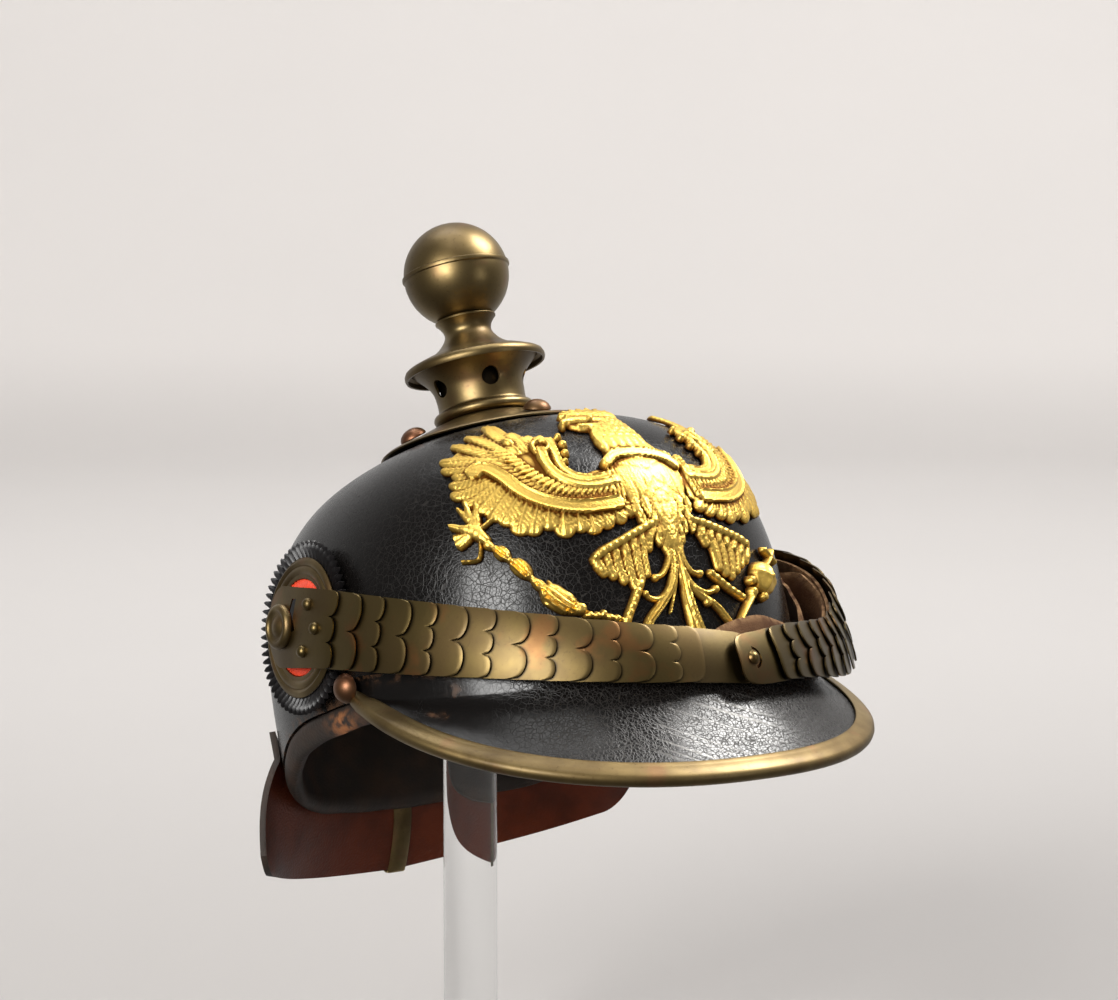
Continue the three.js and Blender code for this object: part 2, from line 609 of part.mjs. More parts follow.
// Feathers of one wing, from the body's side to the top: tips as [psi, s].
const WING_TIPS = [
  [10.5, 46], [17, 42.5], [26, 41.5], [33, 44.5], [39, 51], [44, 59.5],
  [48.5, 69], [51.5, 79.5], [53, 90], [50.5, 101], [45, 109], [38, 111],
];
const WING_ROOTS = [[6, 65], [15, 66.5], [20.5, 70], [22, 80], [23, 91]];
function wing(sign) {
  const roots = new THREE.CatmullRomCurve3(WING_ROOTS.map(([psi, s]) => V(psi, s, 0)));
  const last = 2 * WING_TIPS.length - 2;
  const rings = Array.from({ length: last + 1 }, (_, i) => {
    const [a, b] = [WING_TIPS[i >> 1], WING_TIPS[(i + 1) >> 1]];
    const notch = i % 2;
    const base = roots.getPoint(i / last);
    const reach = notch ? 0.87 : 1;
    const at = (f, n) => {
      const psi = lerp(base.x, (a[0] + b[0]) / 2, f * reach);
      return on(sign * psi, lerp(base.y, (a[1] + b[1]) / 2, f * reach), PLATE_OFF + n);
    };
    const ridge = notch ? 0.9 : 2.2;
    return [at(0, 0), at(0.5, 0), at(1, 0), at(0.8, ridge), at(0, 1.6)];
  });
  return loft(rings);
}

// Columns: middle line as [psi, s], width at its start, middle and end, height.
const WING_BANDS = [
  [[[22.5, 91], [22.5, 78], [24, 69], [19.4, 62.5], [12, 60]], 4, 4, 3, 3.4],
  [[[44, 75], [38.9, 76.5], [33.8, 70], [29, 61.4], [20.8, 54.5], [9, 51.5]], 7.5, 7.5, 7.5, 3.4],
];
const BODY_BANDS = [
  [[[0, 80], [0, 60], [0, 40]], 18, 27, 20, 3.4],
  [[[-1, 74], [-1, 86], [0, 97]], 22, 17, 14, 3.2],
  [[[4, 99], [-5, 103], [-14, 103]], 12, 13, 7, 3.8],
  [[[-12, 103], [-17, 100], [-18, 96.5]], 5, 4, 1.6, 3],
  [[[0, 44], [-1, 33], [-1.5, 28]], 18, 12, 8, 3],
  [[[-1, 31], [-0.5, 15], [-0.2, 0.6]], 5, 5.5, 9, 2.6],
  [[[-2.2, 30], [-4, 15], [-10.5, 5], [-12, 1.5]], 3.2, 3.4, 3, 2.4],
  [[[0.8, 30], [3.5, 16], [9.5, 8], [12, 4]], 3.2, 3.4, 3, 2.4],
  [[[-2.5, 26], [-4.4, 21.5], [-7.2, 22]], 2.6, 2.4, 2, 2.2],
  [[[1.5, 26], [3, 21.5], [5.5, 22.5]], 2.6, 2.4, 2, 2.2],
  [[[-4, 18], [-7, 12.5], [-10.4, 15]], 2.6, 2.4, 2, 2.2],
  [[[3.2, 18], [6.5, 13.5], [9.6, 16]], 2.6, 2.4, 2, 2.2],
  [[[-4, 43], [-12, 34], [-15, 20]], 9, 15, 13, 3.2],
  [[[4, 43], [12, 34], [14.5, 20]], 9, 15, 12, 3.2],
  [[[-12.5, 22], [-14.5, 12], [-17, 3.5]], 4.5, 4, 4, 2.6],
  [[[14, 21], [17, 16], [22, 12.5]], 4.5, 4, 4, 2.6],
  [[[-16, 5.5], [-22, 8.2], [-27, 12.5]], 4, 4.5, 6, 2.8],
  [[[-25, 11], [-34, 26], [-45.5, 48.5]], 6.5, 5.5, 4, 3],
  [[[-43.5, 46], [-48, 50], [-52, 46]], 6, 8, 3.5, 3],
  [[[-46.5, 48], [-46.8, 56], [-45.8, 62]], 6, 5, 4, 2.4],
  [[[21, 12.5], [25, 18.2], [28.5, 24]], 6, 15, 6, 3.8],
  [[[27, 22], [31, 26.5], [35, 31]], 3.4, 2.4, 2.4, 2.4],
  [[[30.2, 30], [32.2, 27.6], [34.5, 25.6]], 2, 2, 2, 2.2],
];
{
  const parts = BODY_BANDS.map((row) => ribbon(...row));
  for (const sign of [-1, 1]) {
    for (const [line, ...sizes] of WING_BANDS) {
      parts.push(ribbon(line.map(([psi, s]) => [sign * psi, s]), ...sizes));
    }
    parts.push(wing(sign));
  }
  piece("helmet_plate", joined(parts), GILT);
}

// Stand: a solid clear rod in a shallow socket of a round base, domed under the crown.
{
  helmet.updateMatrixWorld(true);
  const clear = ROD_RADIUS + 1.1;
  let centre = Infinity;
  for (let psi = 0; psi < 360; psi += 6) {
    for (let s = 60; s < S_TOP; s += 1) {
      const p = on(psi, s, -LEATHER).applyMatrix4(helmet.matrixWorld);
      const beside = clear * clear - p.x * p.x - p.y * p.y;
      if (beside > 0) centre = Math.min(centre, p.z - Math.sqrt(beside));
    }
  }
  const top = Array.from({ length: 6 }, (_, i) => {
    const t = (i / 5) * (Math.PI / 2);
    return [i === 5 ? 0 : ROD_RADIUS * Math.cos(t), centre + ROD_RADIUS * Math.sin(t)];
  });
  const floor = BASE_THICK - SOCKET;
  piece("stand_rod", turned([[0, floor + 0.3], [ROD_RADIUS, floor + 0.3], ...top], 20), CLEAR, root);
  const outline = [
    [0, 0], [BASE_RADIUS, 0], [BASE_RADIUS, BASE_THICK - 1.5], [BASE_RADIUS - 1.5, BASE_THICK],
    [ROD_RADIUS + 0.4, BASE_THICK], [ROD_RADIUS + 0.4, floor], [0, floor],
  ];
  piece("stand_base", turned(outline, 32), CLEAR, root);
}

export default root;
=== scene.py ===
"""Ball-topped leather dress helmet on a clear stand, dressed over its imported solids."""
import math

import bmesh
import bpy
import numpy as np
from bpy.props import FloatProperty, FloatVectorProperty, IntProperty, PointerProperty
from mathutils import Matrix, Vector


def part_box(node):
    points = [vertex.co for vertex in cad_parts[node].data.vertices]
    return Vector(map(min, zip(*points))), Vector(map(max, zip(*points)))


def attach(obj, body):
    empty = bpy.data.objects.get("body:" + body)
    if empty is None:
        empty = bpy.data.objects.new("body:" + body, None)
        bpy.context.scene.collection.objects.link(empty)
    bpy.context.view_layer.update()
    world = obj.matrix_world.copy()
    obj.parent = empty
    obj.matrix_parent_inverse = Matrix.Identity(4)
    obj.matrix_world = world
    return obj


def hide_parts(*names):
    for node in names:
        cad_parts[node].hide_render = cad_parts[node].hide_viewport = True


bl_info = {
    "name": "Ball-Topped Dress Helmet",
    "version": (1, 0, 0),
    "blender": (4, 5, 0),
    "location": "3D View > Sidebar > Helmet",
    "description": "Leather helmet with brass fittings, gilt plate and chin scales on a clear stand",
    "category": "Object",
}

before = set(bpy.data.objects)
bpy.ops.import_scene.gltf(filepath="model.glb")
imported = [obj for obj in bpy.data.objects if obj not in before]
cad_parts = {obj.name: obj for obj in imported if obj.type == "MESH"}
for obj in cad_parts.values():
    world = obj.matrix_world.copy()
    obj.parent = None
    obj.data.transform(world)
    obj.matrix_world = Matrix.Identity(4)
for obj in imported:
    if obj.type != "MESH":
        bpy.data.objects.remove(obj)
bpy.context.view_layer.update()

MM = 0.001
SIDES = (("right", -1), ("left", 1))
SHARP = 40
SEGMENTS = 144


def linear(code):
    """Linear RGB of an sRGB hex colour."""
    channels = [int(code[i:i + 2], 16) / 255 for i in (0, 2, 4)]
    return tuple(c / 12.92 if c <= 0.04045 else ((c + 0.055) / 1.055) ** 2.4 for c in channels)


def colour(name, description, code):
    """A colour that the user can change."""
    return FloatVectorProperty(
        name=name, description=description, default=linear(code), subtype="COLOR", min=0, max=1
    )


def length(name, description, millimetres):
    """A length that the user can change."""
    return FloatProperty(name=name, description=description, default=millimetres * MM, unit="LENGTH")


class HelmetSizes(bpy.types.PropertyGroup):
    """Sizes of the helmet and its stand."""

    lean: FloatProperty(
        name="Lean", description="How far the helmet leans back on the rod",
        default=math.radians(19.7), subtype="ANGLE",
    )
    place: FloatVectorProperty(
        name="Place", description="Middle of the rim's level, from the foot of the rod",
        default=(0, -0.0455, 0.176), subtype="TRANSLATION", unit="LENGTH",
    )
    half_length: length("Half length", "From the middle of the skull to its front", 110.5)
    half_width: length("Half width", "From the middle of the skull to its side", 97.2)
    crown: length("Crown", "Height of the dome above the rim's level", 103.6)
    leather: length("Leather", "Thickness of the skull and the visors", 2.5)
    ball: length("Ball", "Radius of the finial", 21.5)
    trim: length("Trim", "Width of the front visor's brass edge", 6.7)
    scale_post: length("Scale at the post", "Width of the first chin scale", 31.5)
    scale_front: length("Scale in front", "Width of the last chin scale", 20)
    scales: IntProperty(name="Scales", description="Chin scales to each side", default=13, min=4, max=30)
    cockade: length("Cockade", "Radius of the pleated disc", 33.5)
    pleats: IntProperty(name="Pleats", description="Pleats round a cockade", default=60, min=12, max=160)
    crackle: length("Crackle", "Width of the small cells in the lacquer", 1.35)
    rod: length("Rod", "Radius of the clear rod", 11.1)
    base: length("Base", "Radius of the stand's base", 80)


class HelmetColours(bpy.types.PropertyGroup):
    """Colours of the helmet's finishes."""

    lacquer: colour("Lacquer", "Black lacquer of the skull and visors", "0E0C0B")
    scuff: colour("Scuff", "Leather where the lacquer is rubbed", "5E4028")
    dust: colour("Dust", "Dust in the lacquer's cracks", "2A2622")
    scratch: colour("Scratch", "Scratches in the front visor's lacquer", "8E8C88")
    band: colour("Band", "Rolled leather of the rim", "302A26")
    band_worn: colour("Worn band", "Rolled leather where it is rubbed", "8A5A38")
    underside: colour("Underside", "Leather under the rear visor", "5A2611")
    brass: colour("Brass", "Aged brass where it is handled", "87734A")
    scale_brass: colour("Scale brass", "Chin scales where they are handled", "756338")
    blush: colour("Blush", "Reddened places of the chin scales", "8E5A32")
    tarnish: colour("Tarnish", "Aged brass in its dull places", "5F4D2E")
    copper: colour("Copper", "Studs of the base plate and the trim", "8A5A40")
    gilt: colour("Gilt", "Raised parts of the helmet plate", "F8D067")
    # painted shade: the colour that the plate's recesses are darkened towards
    gilt_deep: colour("Deep gilt", "Recesses of the helmet plate", "6E4414")
    black: colour("Cockade black", "Outer part of a cockade", "141213")
    red: colour("Cockade red", "Centre of a cockade", "E8421A")
    suede: colour("Suede", "Leather under the chin scales", "4C301C")
    suede_edge: colour("Suede edge", "Worn edges of that leather", "8C6C4C")
    paper: colour("Paper", "Floor and background", "E6E2DF")


# Shape of the leather body.
PLAN_POWER = 2.2
CROWN_POWER = 2.87
CAP_RISE = 9.5
CAP_REACH = 0.41
AXIS_Y = -4.1
RIM_SIDE = 1.3
RIM_BACK = -17
RIM_FRONT = -12


def smooth(value, low, high):
    """Soft step from 0 at low to 1 at high."""
    t = np.clip((value - low) / (high - low), 0, 1)
    return t * t * (3 - 2 * t)


def unit(vectors):
    """Vectors of length one."""
    return vectors / np.maximum(np.linalg.norm(vectors, axis=-1, keepdims=True), 1e-9)


def spread(*values):
    """Values as arrays of one shape."""
    return np.broadcast_arrays(*(np.asarray(value, float) for value in values))


def distances(line):
    """Distances of a line's points along it."""
    return np.concatenate([[0], np.cumsum(np.linalg.norm(np.diff(line, axis=0), axis=1))])


class Skull:
    """The skull's outer surface in millimetres: psi degrees from the front, s up the wall, out off it."""

    def __init__(self, sizes):
        self.half_length = sizes.half_length / MM
        self.half_width = sizes.half_width / MM
        self.crown = sizes.crown / MM
        self.leather = sizes.leather / MM
        self.turn = np.array(Matrix.Rotation(-sizes.lean, 3, "X"))
        self.place = np.array(sizes.place)
        t = np.linspace(0, math.pi / 2, 1201)
        share = np.clip(np.cos(t), 0, 1) ** (2 / CROWN_POWER)
        share[-1] = 0
        cap = CAP_RISE * np.maximum(0, 1 - (share / CAP_REACH) ** 2) ** 2
        z = self.crown * np.sin(t) ** (2 / CROWN_POWER) + cap
        radius = (self.half_length + self.half_width) / 2
        steps = np.hypot(np.diff(z), np.diff(share) * radius)
        self.table = (np.concatenate([[0], np.cumsum(steps)]), z, share)
        self.top = self.table[0][-1]

    def dome(self, s):
        """Height and share of the plan's radius at s."""
        run, z, share = self.table
        return np.where(s <= 0, s, np.interp(s, run, z)), np.interp(s, run, share)

    def skin(self, psi, s):
        """Point of the surface."""
        psi, s = spread(psi, s)
        z, share = self.dome(s)
        sine = np.sin(np.radians(psi))
        cosine = np.cos(np.radians(psi))
        k = share / (np.abs(sine) ** PLAN_POWER + np.abs(cosine) ** PLAN_POWER) ** (1 / PLAN_POWER)
        shift = AXIS_Y * np.clip(z / self.crown, 0, 1) ** 2
        return np.stack([self.half_width * sine * k, shift - self.half_length * cosine * k, z], axis=-1)

    def ways(self, psi, s):
        """Steps of one degree round the surface and of one millimetre up it."""
        across = self.skin(np.add(psi, 0.5), s) - self.skin(np.subtract(psi, 0.5), s)
        return across, self.skin(psi, np.add(s, 0.5)) - self.skin(psi, np.subtract(s, 0.5))

    def facing(self, psi, s):
        """Outward direction of the surface."""
        return unit(np.cross(*self.ways(psi, s)))

    def on(self, psi, s, out):
        """Point at a distance off the surface."""
        return self.skin(psi, s) + self.facing(psi, s) * np.asarray(out, float)[..., None]

    def near(self, psi, s, side, up, out):
        """Point near (psi, s), moved by millimetres to the side and up the wall."""
        degree, _ = self.ways(psi, s + up)
        return self.on(psi + side / np.linalg.norm(degree, axis=-1), s + up, out)

    def rim(self, psi):
        """Level of the leather's lower edge."""
        y = self.skin(psi, 0)[..., 1]
        back = (RIM_SIDE - RIM_BACK) * smooth(y, 15, 105)
        front = (RIM_SIDE - RIM_FRONT) * smooth(-y, 10, 105)
        return RIM_SIDE - back - front

    def crown_at(self, radius):
        """Height of the crown at a distance in front of the ball's axis."""
        s = np.linspace(60, self.top, 900)[::-1]
        return np.interp(radius, AXIS_Y - self.skin(0, s)[:, 1], self.dome(s)[0])

    def world(self, points):
        """Points of the helmet in metres in the row's frame."""
        return points @ self.turn.T * MM + self.place


LIP_SHARE = 0.25
LIP = 8.5
VISOR_SPAN = 80
VISOR_OUT = 21
VISOR_DROP = -60.5
VISOR_END = 4.8
REAR_SPAN = 53
REAR_OUT = 15
REAR_DROP = -49.5
REAR_WARP = 8


class Visor:
    """A visor's middle surface: a along its edge from -1 to 1, b from the lip, 0, to the edge, 1."""

    def __init__(self, skull, front):
        self.skull = skull
        self.front = front
        self.lip_off = skull.leather / 2 + 0.5

    def rows(self, a):
        """Places of the lip, the bend and the edge at a."""
        w = np.abs(a)
        if self.front:
            psi = VISOR_SPAN * a
            rim = self.skull.rim(psi)
            drop = VISOR_DROP + (VISOR_END - VISOR_DROP) * (1.15 * w ** 2.4 - 0.15 * w ** 8)
            bend = np.maximum(rim - 2, drop + 1)
            return psi, rim + LIP, bend, VISOR_OUT * (1 - w ** 5), drop, self.lip_off + 1.3 * w ** 6
        psi = 180 + REAR_SPAN * a
        drop = REAR_DROP + 7 * np.maximum(0, (w - 0.88) / 0.12) ** 2 + REAR_WARP * np.maximum(0, -a)
        out = REAR_OUT - 2.5 * np.maximum(0, a)
        bend = self.skull.rim(psi) - 4 + 9 * smooth(w, 0.6, 1)
        return psi, -8 + 14 * w * w, bend, out, drop, self.lip_off + 0 * a

    def middle(self, a, b):
        """Point of the middle surface."""
        a, b = spread(a, b)
        psi, top, bend, out, drop, off = self.rows(a)
        t = np.maximum(0, (b - LIP_SHARE) / (1 - LIP_SHARE))
        lip = np.minimum(1, b / LIP_SHARE)
        fall = bend + (drop - bend) * (0.9 * t + 0.1 * t * t)
        s = np.where(b < LIP_SHARE, top + (bend - top) * lip, fall)
        flare = 0.3 * t + 0.7 * t * t
        if not self.front:
            flare = flare + 0.75 * smooth(np.abs(a), 0.6, 1) * (1 - (1 - t) ** 2.6 - flare)
        return self.skull.on(psi, s, off + out * flare)

    def at(self, a, b, n):
        """Point at a distance off the middle surface."""
        e = 0.002
        a, b = spread(a, b)
        along = self.middle(np.minimum(1, a + e), b) - self.middle(np.maximum(-1, a - e), b)
        across = self.middle(a, np.minimum(1, b + e)) - self.middle(a, np.maximum(0, b - e))
        return self.middle(a, b) + unit(np.cross(across, along)) * np.asarray(n, float)[..., None]

    def sheet(self, stations, rows):
        """Stations along the edge, closer towards its ends, rows across it, and the closed leather."""
        a = np.sin(math.pi * (np.linspace(0, 1, stations) - 0.5))[:, None]
        b = np.linspace(0, 1, rows)[None, :]
        half = self.skull.leather / 2
        return a, b, *slab(self.at(a, b, half), self.at(a, b, -half))

    def stretches(self, a):
        """Lengths of the lip on the skull and of the fall to the edge."""
        fold = self.middle(a, LIP_SHARE)
        lip = np.linalg.norm(self.middle(a, 0) - fold, axis=-1)
        return lip, np.linalg.norm(fold - self.middle(a, 1), axis=-1)

    def edge(self, a, w, n):
        """Point w inwards from the edge along the leather and n off its middle."""
        a, w, n = spread(a, w, n)
        lip, fall = self.stretches(a)
        far = LIP_SHARE * np.maximum(0, 1 - (w - fall) / np.maximum(lip, 1e-6))
        b = np.where(w < fall, 1 - (1 - LIP_SHARE) * np.maximum(w, 0) / np.maximum(fall, 1e-6), far)
        away = unit(self.middle(a, 1) - self.middle(a, 0.97))
        return self.at(a, b, n) - away * np.minimum(w, 0)[..., None]


def spline(points, count):
    """Even steps along a smooth curve through the points, and its length."""
    p = np.asarray(points, float)
    p = np.vstack([2 * p[0] - p[1], p, 2 * p[-1] - p[-2]])
    runs = []
    u = np.linspace(0, 1, 25)[:-1, None]
    for a, b, c, d in zip(p, p[1:], p[2:], p[3:]):
        ta, tb, tc = (max(1e-3, np.linalg.norm(g)) ** 0.5 for g in (b - a, c - b, d - c))
        t1 = ((b - a) / ta - (c - a) / (ta + tb) + (c - b) / tb) * tb
        t2 = ((c - b) / tb - (d - b) / (tb + tc) + (d - c) / tc) * tb
        square = 3 * c - 3 * b - 2 * t1 - t2
        cube = 2 * b - 2 * c + t1 + t2
        runs.append(b + t1 * u + square * u ** 2 + cube * u ** 3)
    line = np.vstack([*runs, p[-2:-1]])
    run = distances(line)
    even = np.linspace(0, run[-1], count)
    return np.stack([np.interp(even, run, column) for column in line.T], axis=1), run[-1]


# How far a path's upward direction tips towards the helmet, and the steps of its table.
TIP = 0.12
ROUTE_STEPS = 800


class Route:
    """A path with its own frame: w along it, q across it upwards, n off the helmet."""

    def __init__(self, points, sign):
        self.line, self.length = spline(points, ROUTE_STEPS + 1)
        run = unit(np.gradient(self.line, axis=0))
        z = np.array([0, 0, 1.0])
        off = unit(np.cross(run, z)) * sign
        self.up = unit(unit(z - run * run[:, 2:]) - TIP * off)
        self.face = unit(np.cross(run, self.up)) * sign

    def at(self, w, q, n):
        """Point of the path's frame."""
        u = np.clip(np.asarray(w, float) / self.length, 0, 1) * ROUTE_STEPS
        steps = np.arange(ROUTE_STEPS + 1)
        place, up, face = (
            np.stack([np.interp(u, steps, column) for column in rows.T], axis=-1)
            for rows in (self.line, self.up, self.face)
        )
        return place + up * np.asarray(q, float)[..., None] + face * np.asarray(n, float)[..., None]

    def closest(self, point):
        """Distance along the path of its point nearest to a point."""
        gaps = np.linalg.norm(self.line - point, axis=1)
        return self.length * int(np.argmin(gaps)) / ROUTE_STEPS


def weave(rows, columns, loop_rows=False, loop_columns=False):
    """Quads over points numbered row by row."""
    r = np.arange(rows if loop_rows else rows - 1)[:, None]
    c = np.arange(columns if loop_columns else columns - 1)[None, :]
    r1 = (r + 1) % rows
    c1 = (c + 1) % columns
    corners = [r * columns + c, r * columns + c1, r1 * columns + c1, r1 * columns + c]
    return np.stack(np.broadcast_arrays(*corners), axis=-1).reshape(-1, 4).tolist()


def slab(front, back):
    """Closed shell between two grids of points."""
    rows, columns = front.shape[:2]
    count = rows * columns
    index = np.arange(count).reshape(rows, columns)
    border = [*index[0, :-1], *index[:-1, -1], *index[-1, :0:-1], *index[:0:-1, 0]]
    faces = weave(rows, columns)
    faces += [[i + count for i in reversed(face)] for face in weave(rows, columns)]
    for a, b in zip(border, border[1:] + border[:1]):
        faces.append([int(b), int(a), int(a) + count, int(b) + count])
    return np.concatenate([front.reshape(-1, 3), back.reshape(-1, 3)]), faces


def tube(rings):
    """Shell through rings of points, with its two ends closed."""
    rows, columns = rings.shape[:2]
    last = (rows - 1) * columns
    faces = weave(rows, columns, loop_columns=True)
    faces.append(list(range(columns)))
    faces.append(list(range(last, last + columns))[::-1])
    return rings.reshape(-1, 3), faces


def turned(outline, segments=SEGMENTS):
    """Turned shell about Z from a closed outline of radius and height."""
    radius, height = np.asarray(outline, float).T
    t = np.linspace(0, 2 * math.pi, segments, endpoint=False)[:, None]
    rings = np.stack([radius * np.sin(t), -radius * np.cos(t), height + 0 * t], axis=-1)
    return rings.reshape(-1, 3), weave(segments, len(outline), True, True)


def stood(points, at, normal):
    """Points drawn about Z, set at a place with Z along the normal."""
    turn = np.array(Vector((0, 0, 1)).rotation_difference(Vector(normal)).to_matrix())
    return points @ turn.T + at


def shell(name, points, faces, finishes, marks=None, shares=None, sharp=SHARP):
    """Mesh object from points in metres, with closed poles and outward faces."""
    mesh = bpy.data.meshes.new(name)
    mesh.from_pydata(points.tolist(), [], faces)
    for key, values in (marks or {}).items():
        mesh.attributes.new(key, "FLOAT", "POINT").data.foreach_set("value", np.ravel(values))
    for coat in finishes:
        mesh.materials.append(coat)
    if shares:
        index = np.repeat(np.arange(len(shares), dtype=np.int32), shares)
        mesh.polygons.foreach_set("material_index", index)
    seal(mesh, sharp)
    obj = bpy.data.objects.new(name, mesh)
    bpy.context.scene.collection.objects.link(obj)
    return obj


def seal(mesh, sharp):
    """Merges doubles, faces the shell outwards and shades it smooth."""
    work = bmesh.new()
    work.from_mesh(mesh)
    bmesh.ops.remove_doubles(work, verts=work.verts, dist=1e-6)
    bmesh.ops.dissolve_degenerate(work, edges=work.edges, dist=1e-7)
    bmesh.ops.recalc_face_normals(work, faces=work.faces)
    work.to_mesh(mesh)
    work.free()
    mesh.shade_smooth()
    mesh.set_sharp_from_angle(angle=math.radians(sharp))


def plain_mesh(obj):
    """Turns an object's modifiers into its mesh."""
    depsgraph = bpy.context.evaluated_depsgraph_get()
    made = bpy.data.meshes.new_from_object(obj.evaluated_get(depsgraph), depsgraph=depsgraph)
    obj.modifiers.clear()
    obj.data = made


def points_of(mesh):
    """A mesh's points as an array."""
    flat = np.empty(len(mesh.vertices) * 3, dtype=np.float32)
    mesh.vertices.foreach_get("co", flat)
    return flat.reshape(-1, 3).astype(float)


def reshape(obj, points):
    """Gives an object's mesh new places for its points."""
    obj.data.vertices.foreach_set("co", np.asarray(points, dtype=np.float32).ravel())
    seal(obj.data, SHARP)


def fit(obj, slot, *nodes):
    """Sets a finished piece on the helmet's body in place of its solids."""
    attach(obj, "root")
    if nodes:
        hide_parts(*nodes)


def cut(obj, points, faces):
    """Cuts a closed form out of a piece."""
    tool = shell("drill", points, faces, [])
    step = obj.modifiers.new("Cut", "BOOLEAN")
    step.operation = "DIFFERENCE"
    step.solver = "EXACT"
    step.object = tool
    plain_mesh(obj)
    bpy.data.objects.remove(tool)


def soften(obj, width, angle=50):
    """Rounds a piece's sharp edges by millimetres."""
    step = obj.modifiers.new("Soften", "BEVEL")
    step.width = width * MM
    step.segments = 2
    step.limit_method = "ANGLE"
    step.angle_limit = math.radians(angle)
    step.harden_normals = False
    plain_mesh(obj)
    seal(obj.data, SHARP)


# Materials.
def feed(tree, made, inputs):
    """Gives a node its inputs as values or links; a node among them stands for its first output in use."""
    for key, value in inputs.items():
        if isinstance(value, bpy.types.Node):
            value = next(output for output in value.outputs if output.enabled)
        if isinstance(value, bpy.types.NodeSocket):
            tree.links.new(value, made.inputs[key])
        else:
            made.inputs[key].default_value = value
    return made


def node(tree, kind, inputs=None, **settings):
    """Adds a node with its settings and its inputs."""
    made = tree.nodes.new(kind)
    for key, value in settings.items():
        setattr(made, key, value)
    return feed(tree, made, inputs or {})


def surface(name):
    """A new material with its tree, its shader and its Object coordinates."""
    made = bpy.data.materials.new(name)
    made.use_nodes = True
    tree = made.node_tree
    coords = node(tree, "ShaderNodeTexCoord").outputs["Object"]
    return made, tree, tree.nodes["Principled BSDF"], coords


def per_mm(size):
    """Texture scale for a pattern of that size in millimetres."""
    return 1 / (size * MM)


def rgba(shade):
    """Colour with full alpha."""
    return (*shade, 1)


# How far noise bends the cracks of the lacquer, in metres; and the direction across the visor's scratches.
CRACK_BEND = (0.0018, 0.0018, 0.0018)
SCRATCH_ACROSS = (0.26, -0.19, 0.945)


def lacquered_leather(sizes, colours):
    """Black lacquer brushed on leather: glossy, crazed with age, scratched and rubbed brown in places."""
    made, tree, shader, coords = surface("Crackled black lacquer on leather")
    stir, patches, flakes = (
        node(tree, "ShaderNodeTexNoise", {"Vector": coords, "Scale": per_mm(size), "Detail": detail})
        for size, detail in ((5, 3.0), (24, 5.0), (6, 6.0))
    )
    craze, scratched, wear = (
        node(tree, "ShaderNodeAttribute", attribute_name=mark).outputs["Fac"]
        for mark in ("craze", "scratch", "wear")
    )
    bent = node(
        tree, "ShaderNodeVectorMath", {0: stir.outputs["Color"], 1: CRACK_BEND, 2: coords},
        operation="MULTIPLY_ADD",
    )
    # small cells where the lacquer is crazed most, wide cells all over:
    # small cells to one cell, width of a crack, how the craze deepens it, its level with no craze
    grooves = []
    for cells, crack, deepens, level in ((1, 0.1, -0.75, 0.9), (0.5, 0.06, -1.8, 1.0)):
        edge = node(
            tree, "ShaderNodeTexVoronoi", {"Vector": bent, "Scale": cells / sizes.crackle},
            feature="DISTANCE_TO_EDGE",
        )
        bottom = node(
            tree, "ShaderNodeMath", {0: craze, 1: deepens, 2: level},
            operation="MULTIPLY_ADD", use_clamp=True,
        )
        grooves.append(node(
            tree, "ShaderNodeMapRange", {"Value": edge, "From Max": crack, "To Min": bottom},
            interpolation_type="SMOOTHSTEP",
        ))
    crackle = node(tree, "ShaderNodeMath", dict(enumerate(grooves)), operation="MINIMUM")
    # long scratches run side by side across one part of the visor
    across = node(tree, "ShaderNodeVectorMath", {0: coords, 1: SCRATCH_ACROSS}, operation="DOT_PRODUCT")
    comb = node(
        tree, "ShaderNodeTexNoise", {"W": across, "Scale": per_mm(1.3), "Detail": 1.0}, noise_dimensions="1D"
    )
    line, broken = (
        node(tree, "ShaderNodeMapRange", {"Value": value, "From Min": low, "From Max": high})
        for value, low, high in ((comb, 0.61, 0.65), (flakes, 0.44, 0.58))
    )
    scratch = node(tree, "ShaderNodeMath", {0: line, 1: scratched}, operation="MULTIPLY")
    rubbed = node(tree, "ShaderNodeMath", {0: wear, 1: broken}, operation="MULTIPLY", use_clamp=True)
    dust, gloss, dry = (
        node(
            tree, "ShaderNodeMapRange",
            {"Value": value, "From Min": low, "From Max": high, "To Min": first, "To Max": last},
        )
        for value, low, high, first, last in (
            (crackle, 0.1, 0.6, 0.8, 0.0), (patches, 0.3, 0.7, 0.15, 0.25), (crackle, 0.1, 0.8, 0.45, 0.0))
    )
    tint = rgba(colours.lacquer)
    for cover, shade in ((rubbed, colours.scuff), (dust, colours.dust), (scratch, colours.scratch)):
        tint = node(tree, "ShaderNodeMix", {0: cover, 6: tint, 7: rgba(shade)}, data_type="RGBA")
    matt = node(tree, "ShaderNodeMath", {0: rubbed, 1: 0.3, 2: gloss}, operation="MULTIPLY_ADD")
    rough = node(tree, "ShaderNodeMath", {0: matt, 1: dry}, operation="ADD", use_clamp=True)
    height = node(tree, "ShaderNodeMath", {0: patches, 1: 1.2, 2: crackle}, operation="MULTIPLY_ADD")
    bump = node(tree, "ShaderNodeBump", {"Height": height, "Strength": 0.24, "Distance": 0.0002})
    feed(tree, shader, {"Base Color": tint, "Roughness": rough, "Normal": bump, "Specular IOR Level": 0.42})
    return made


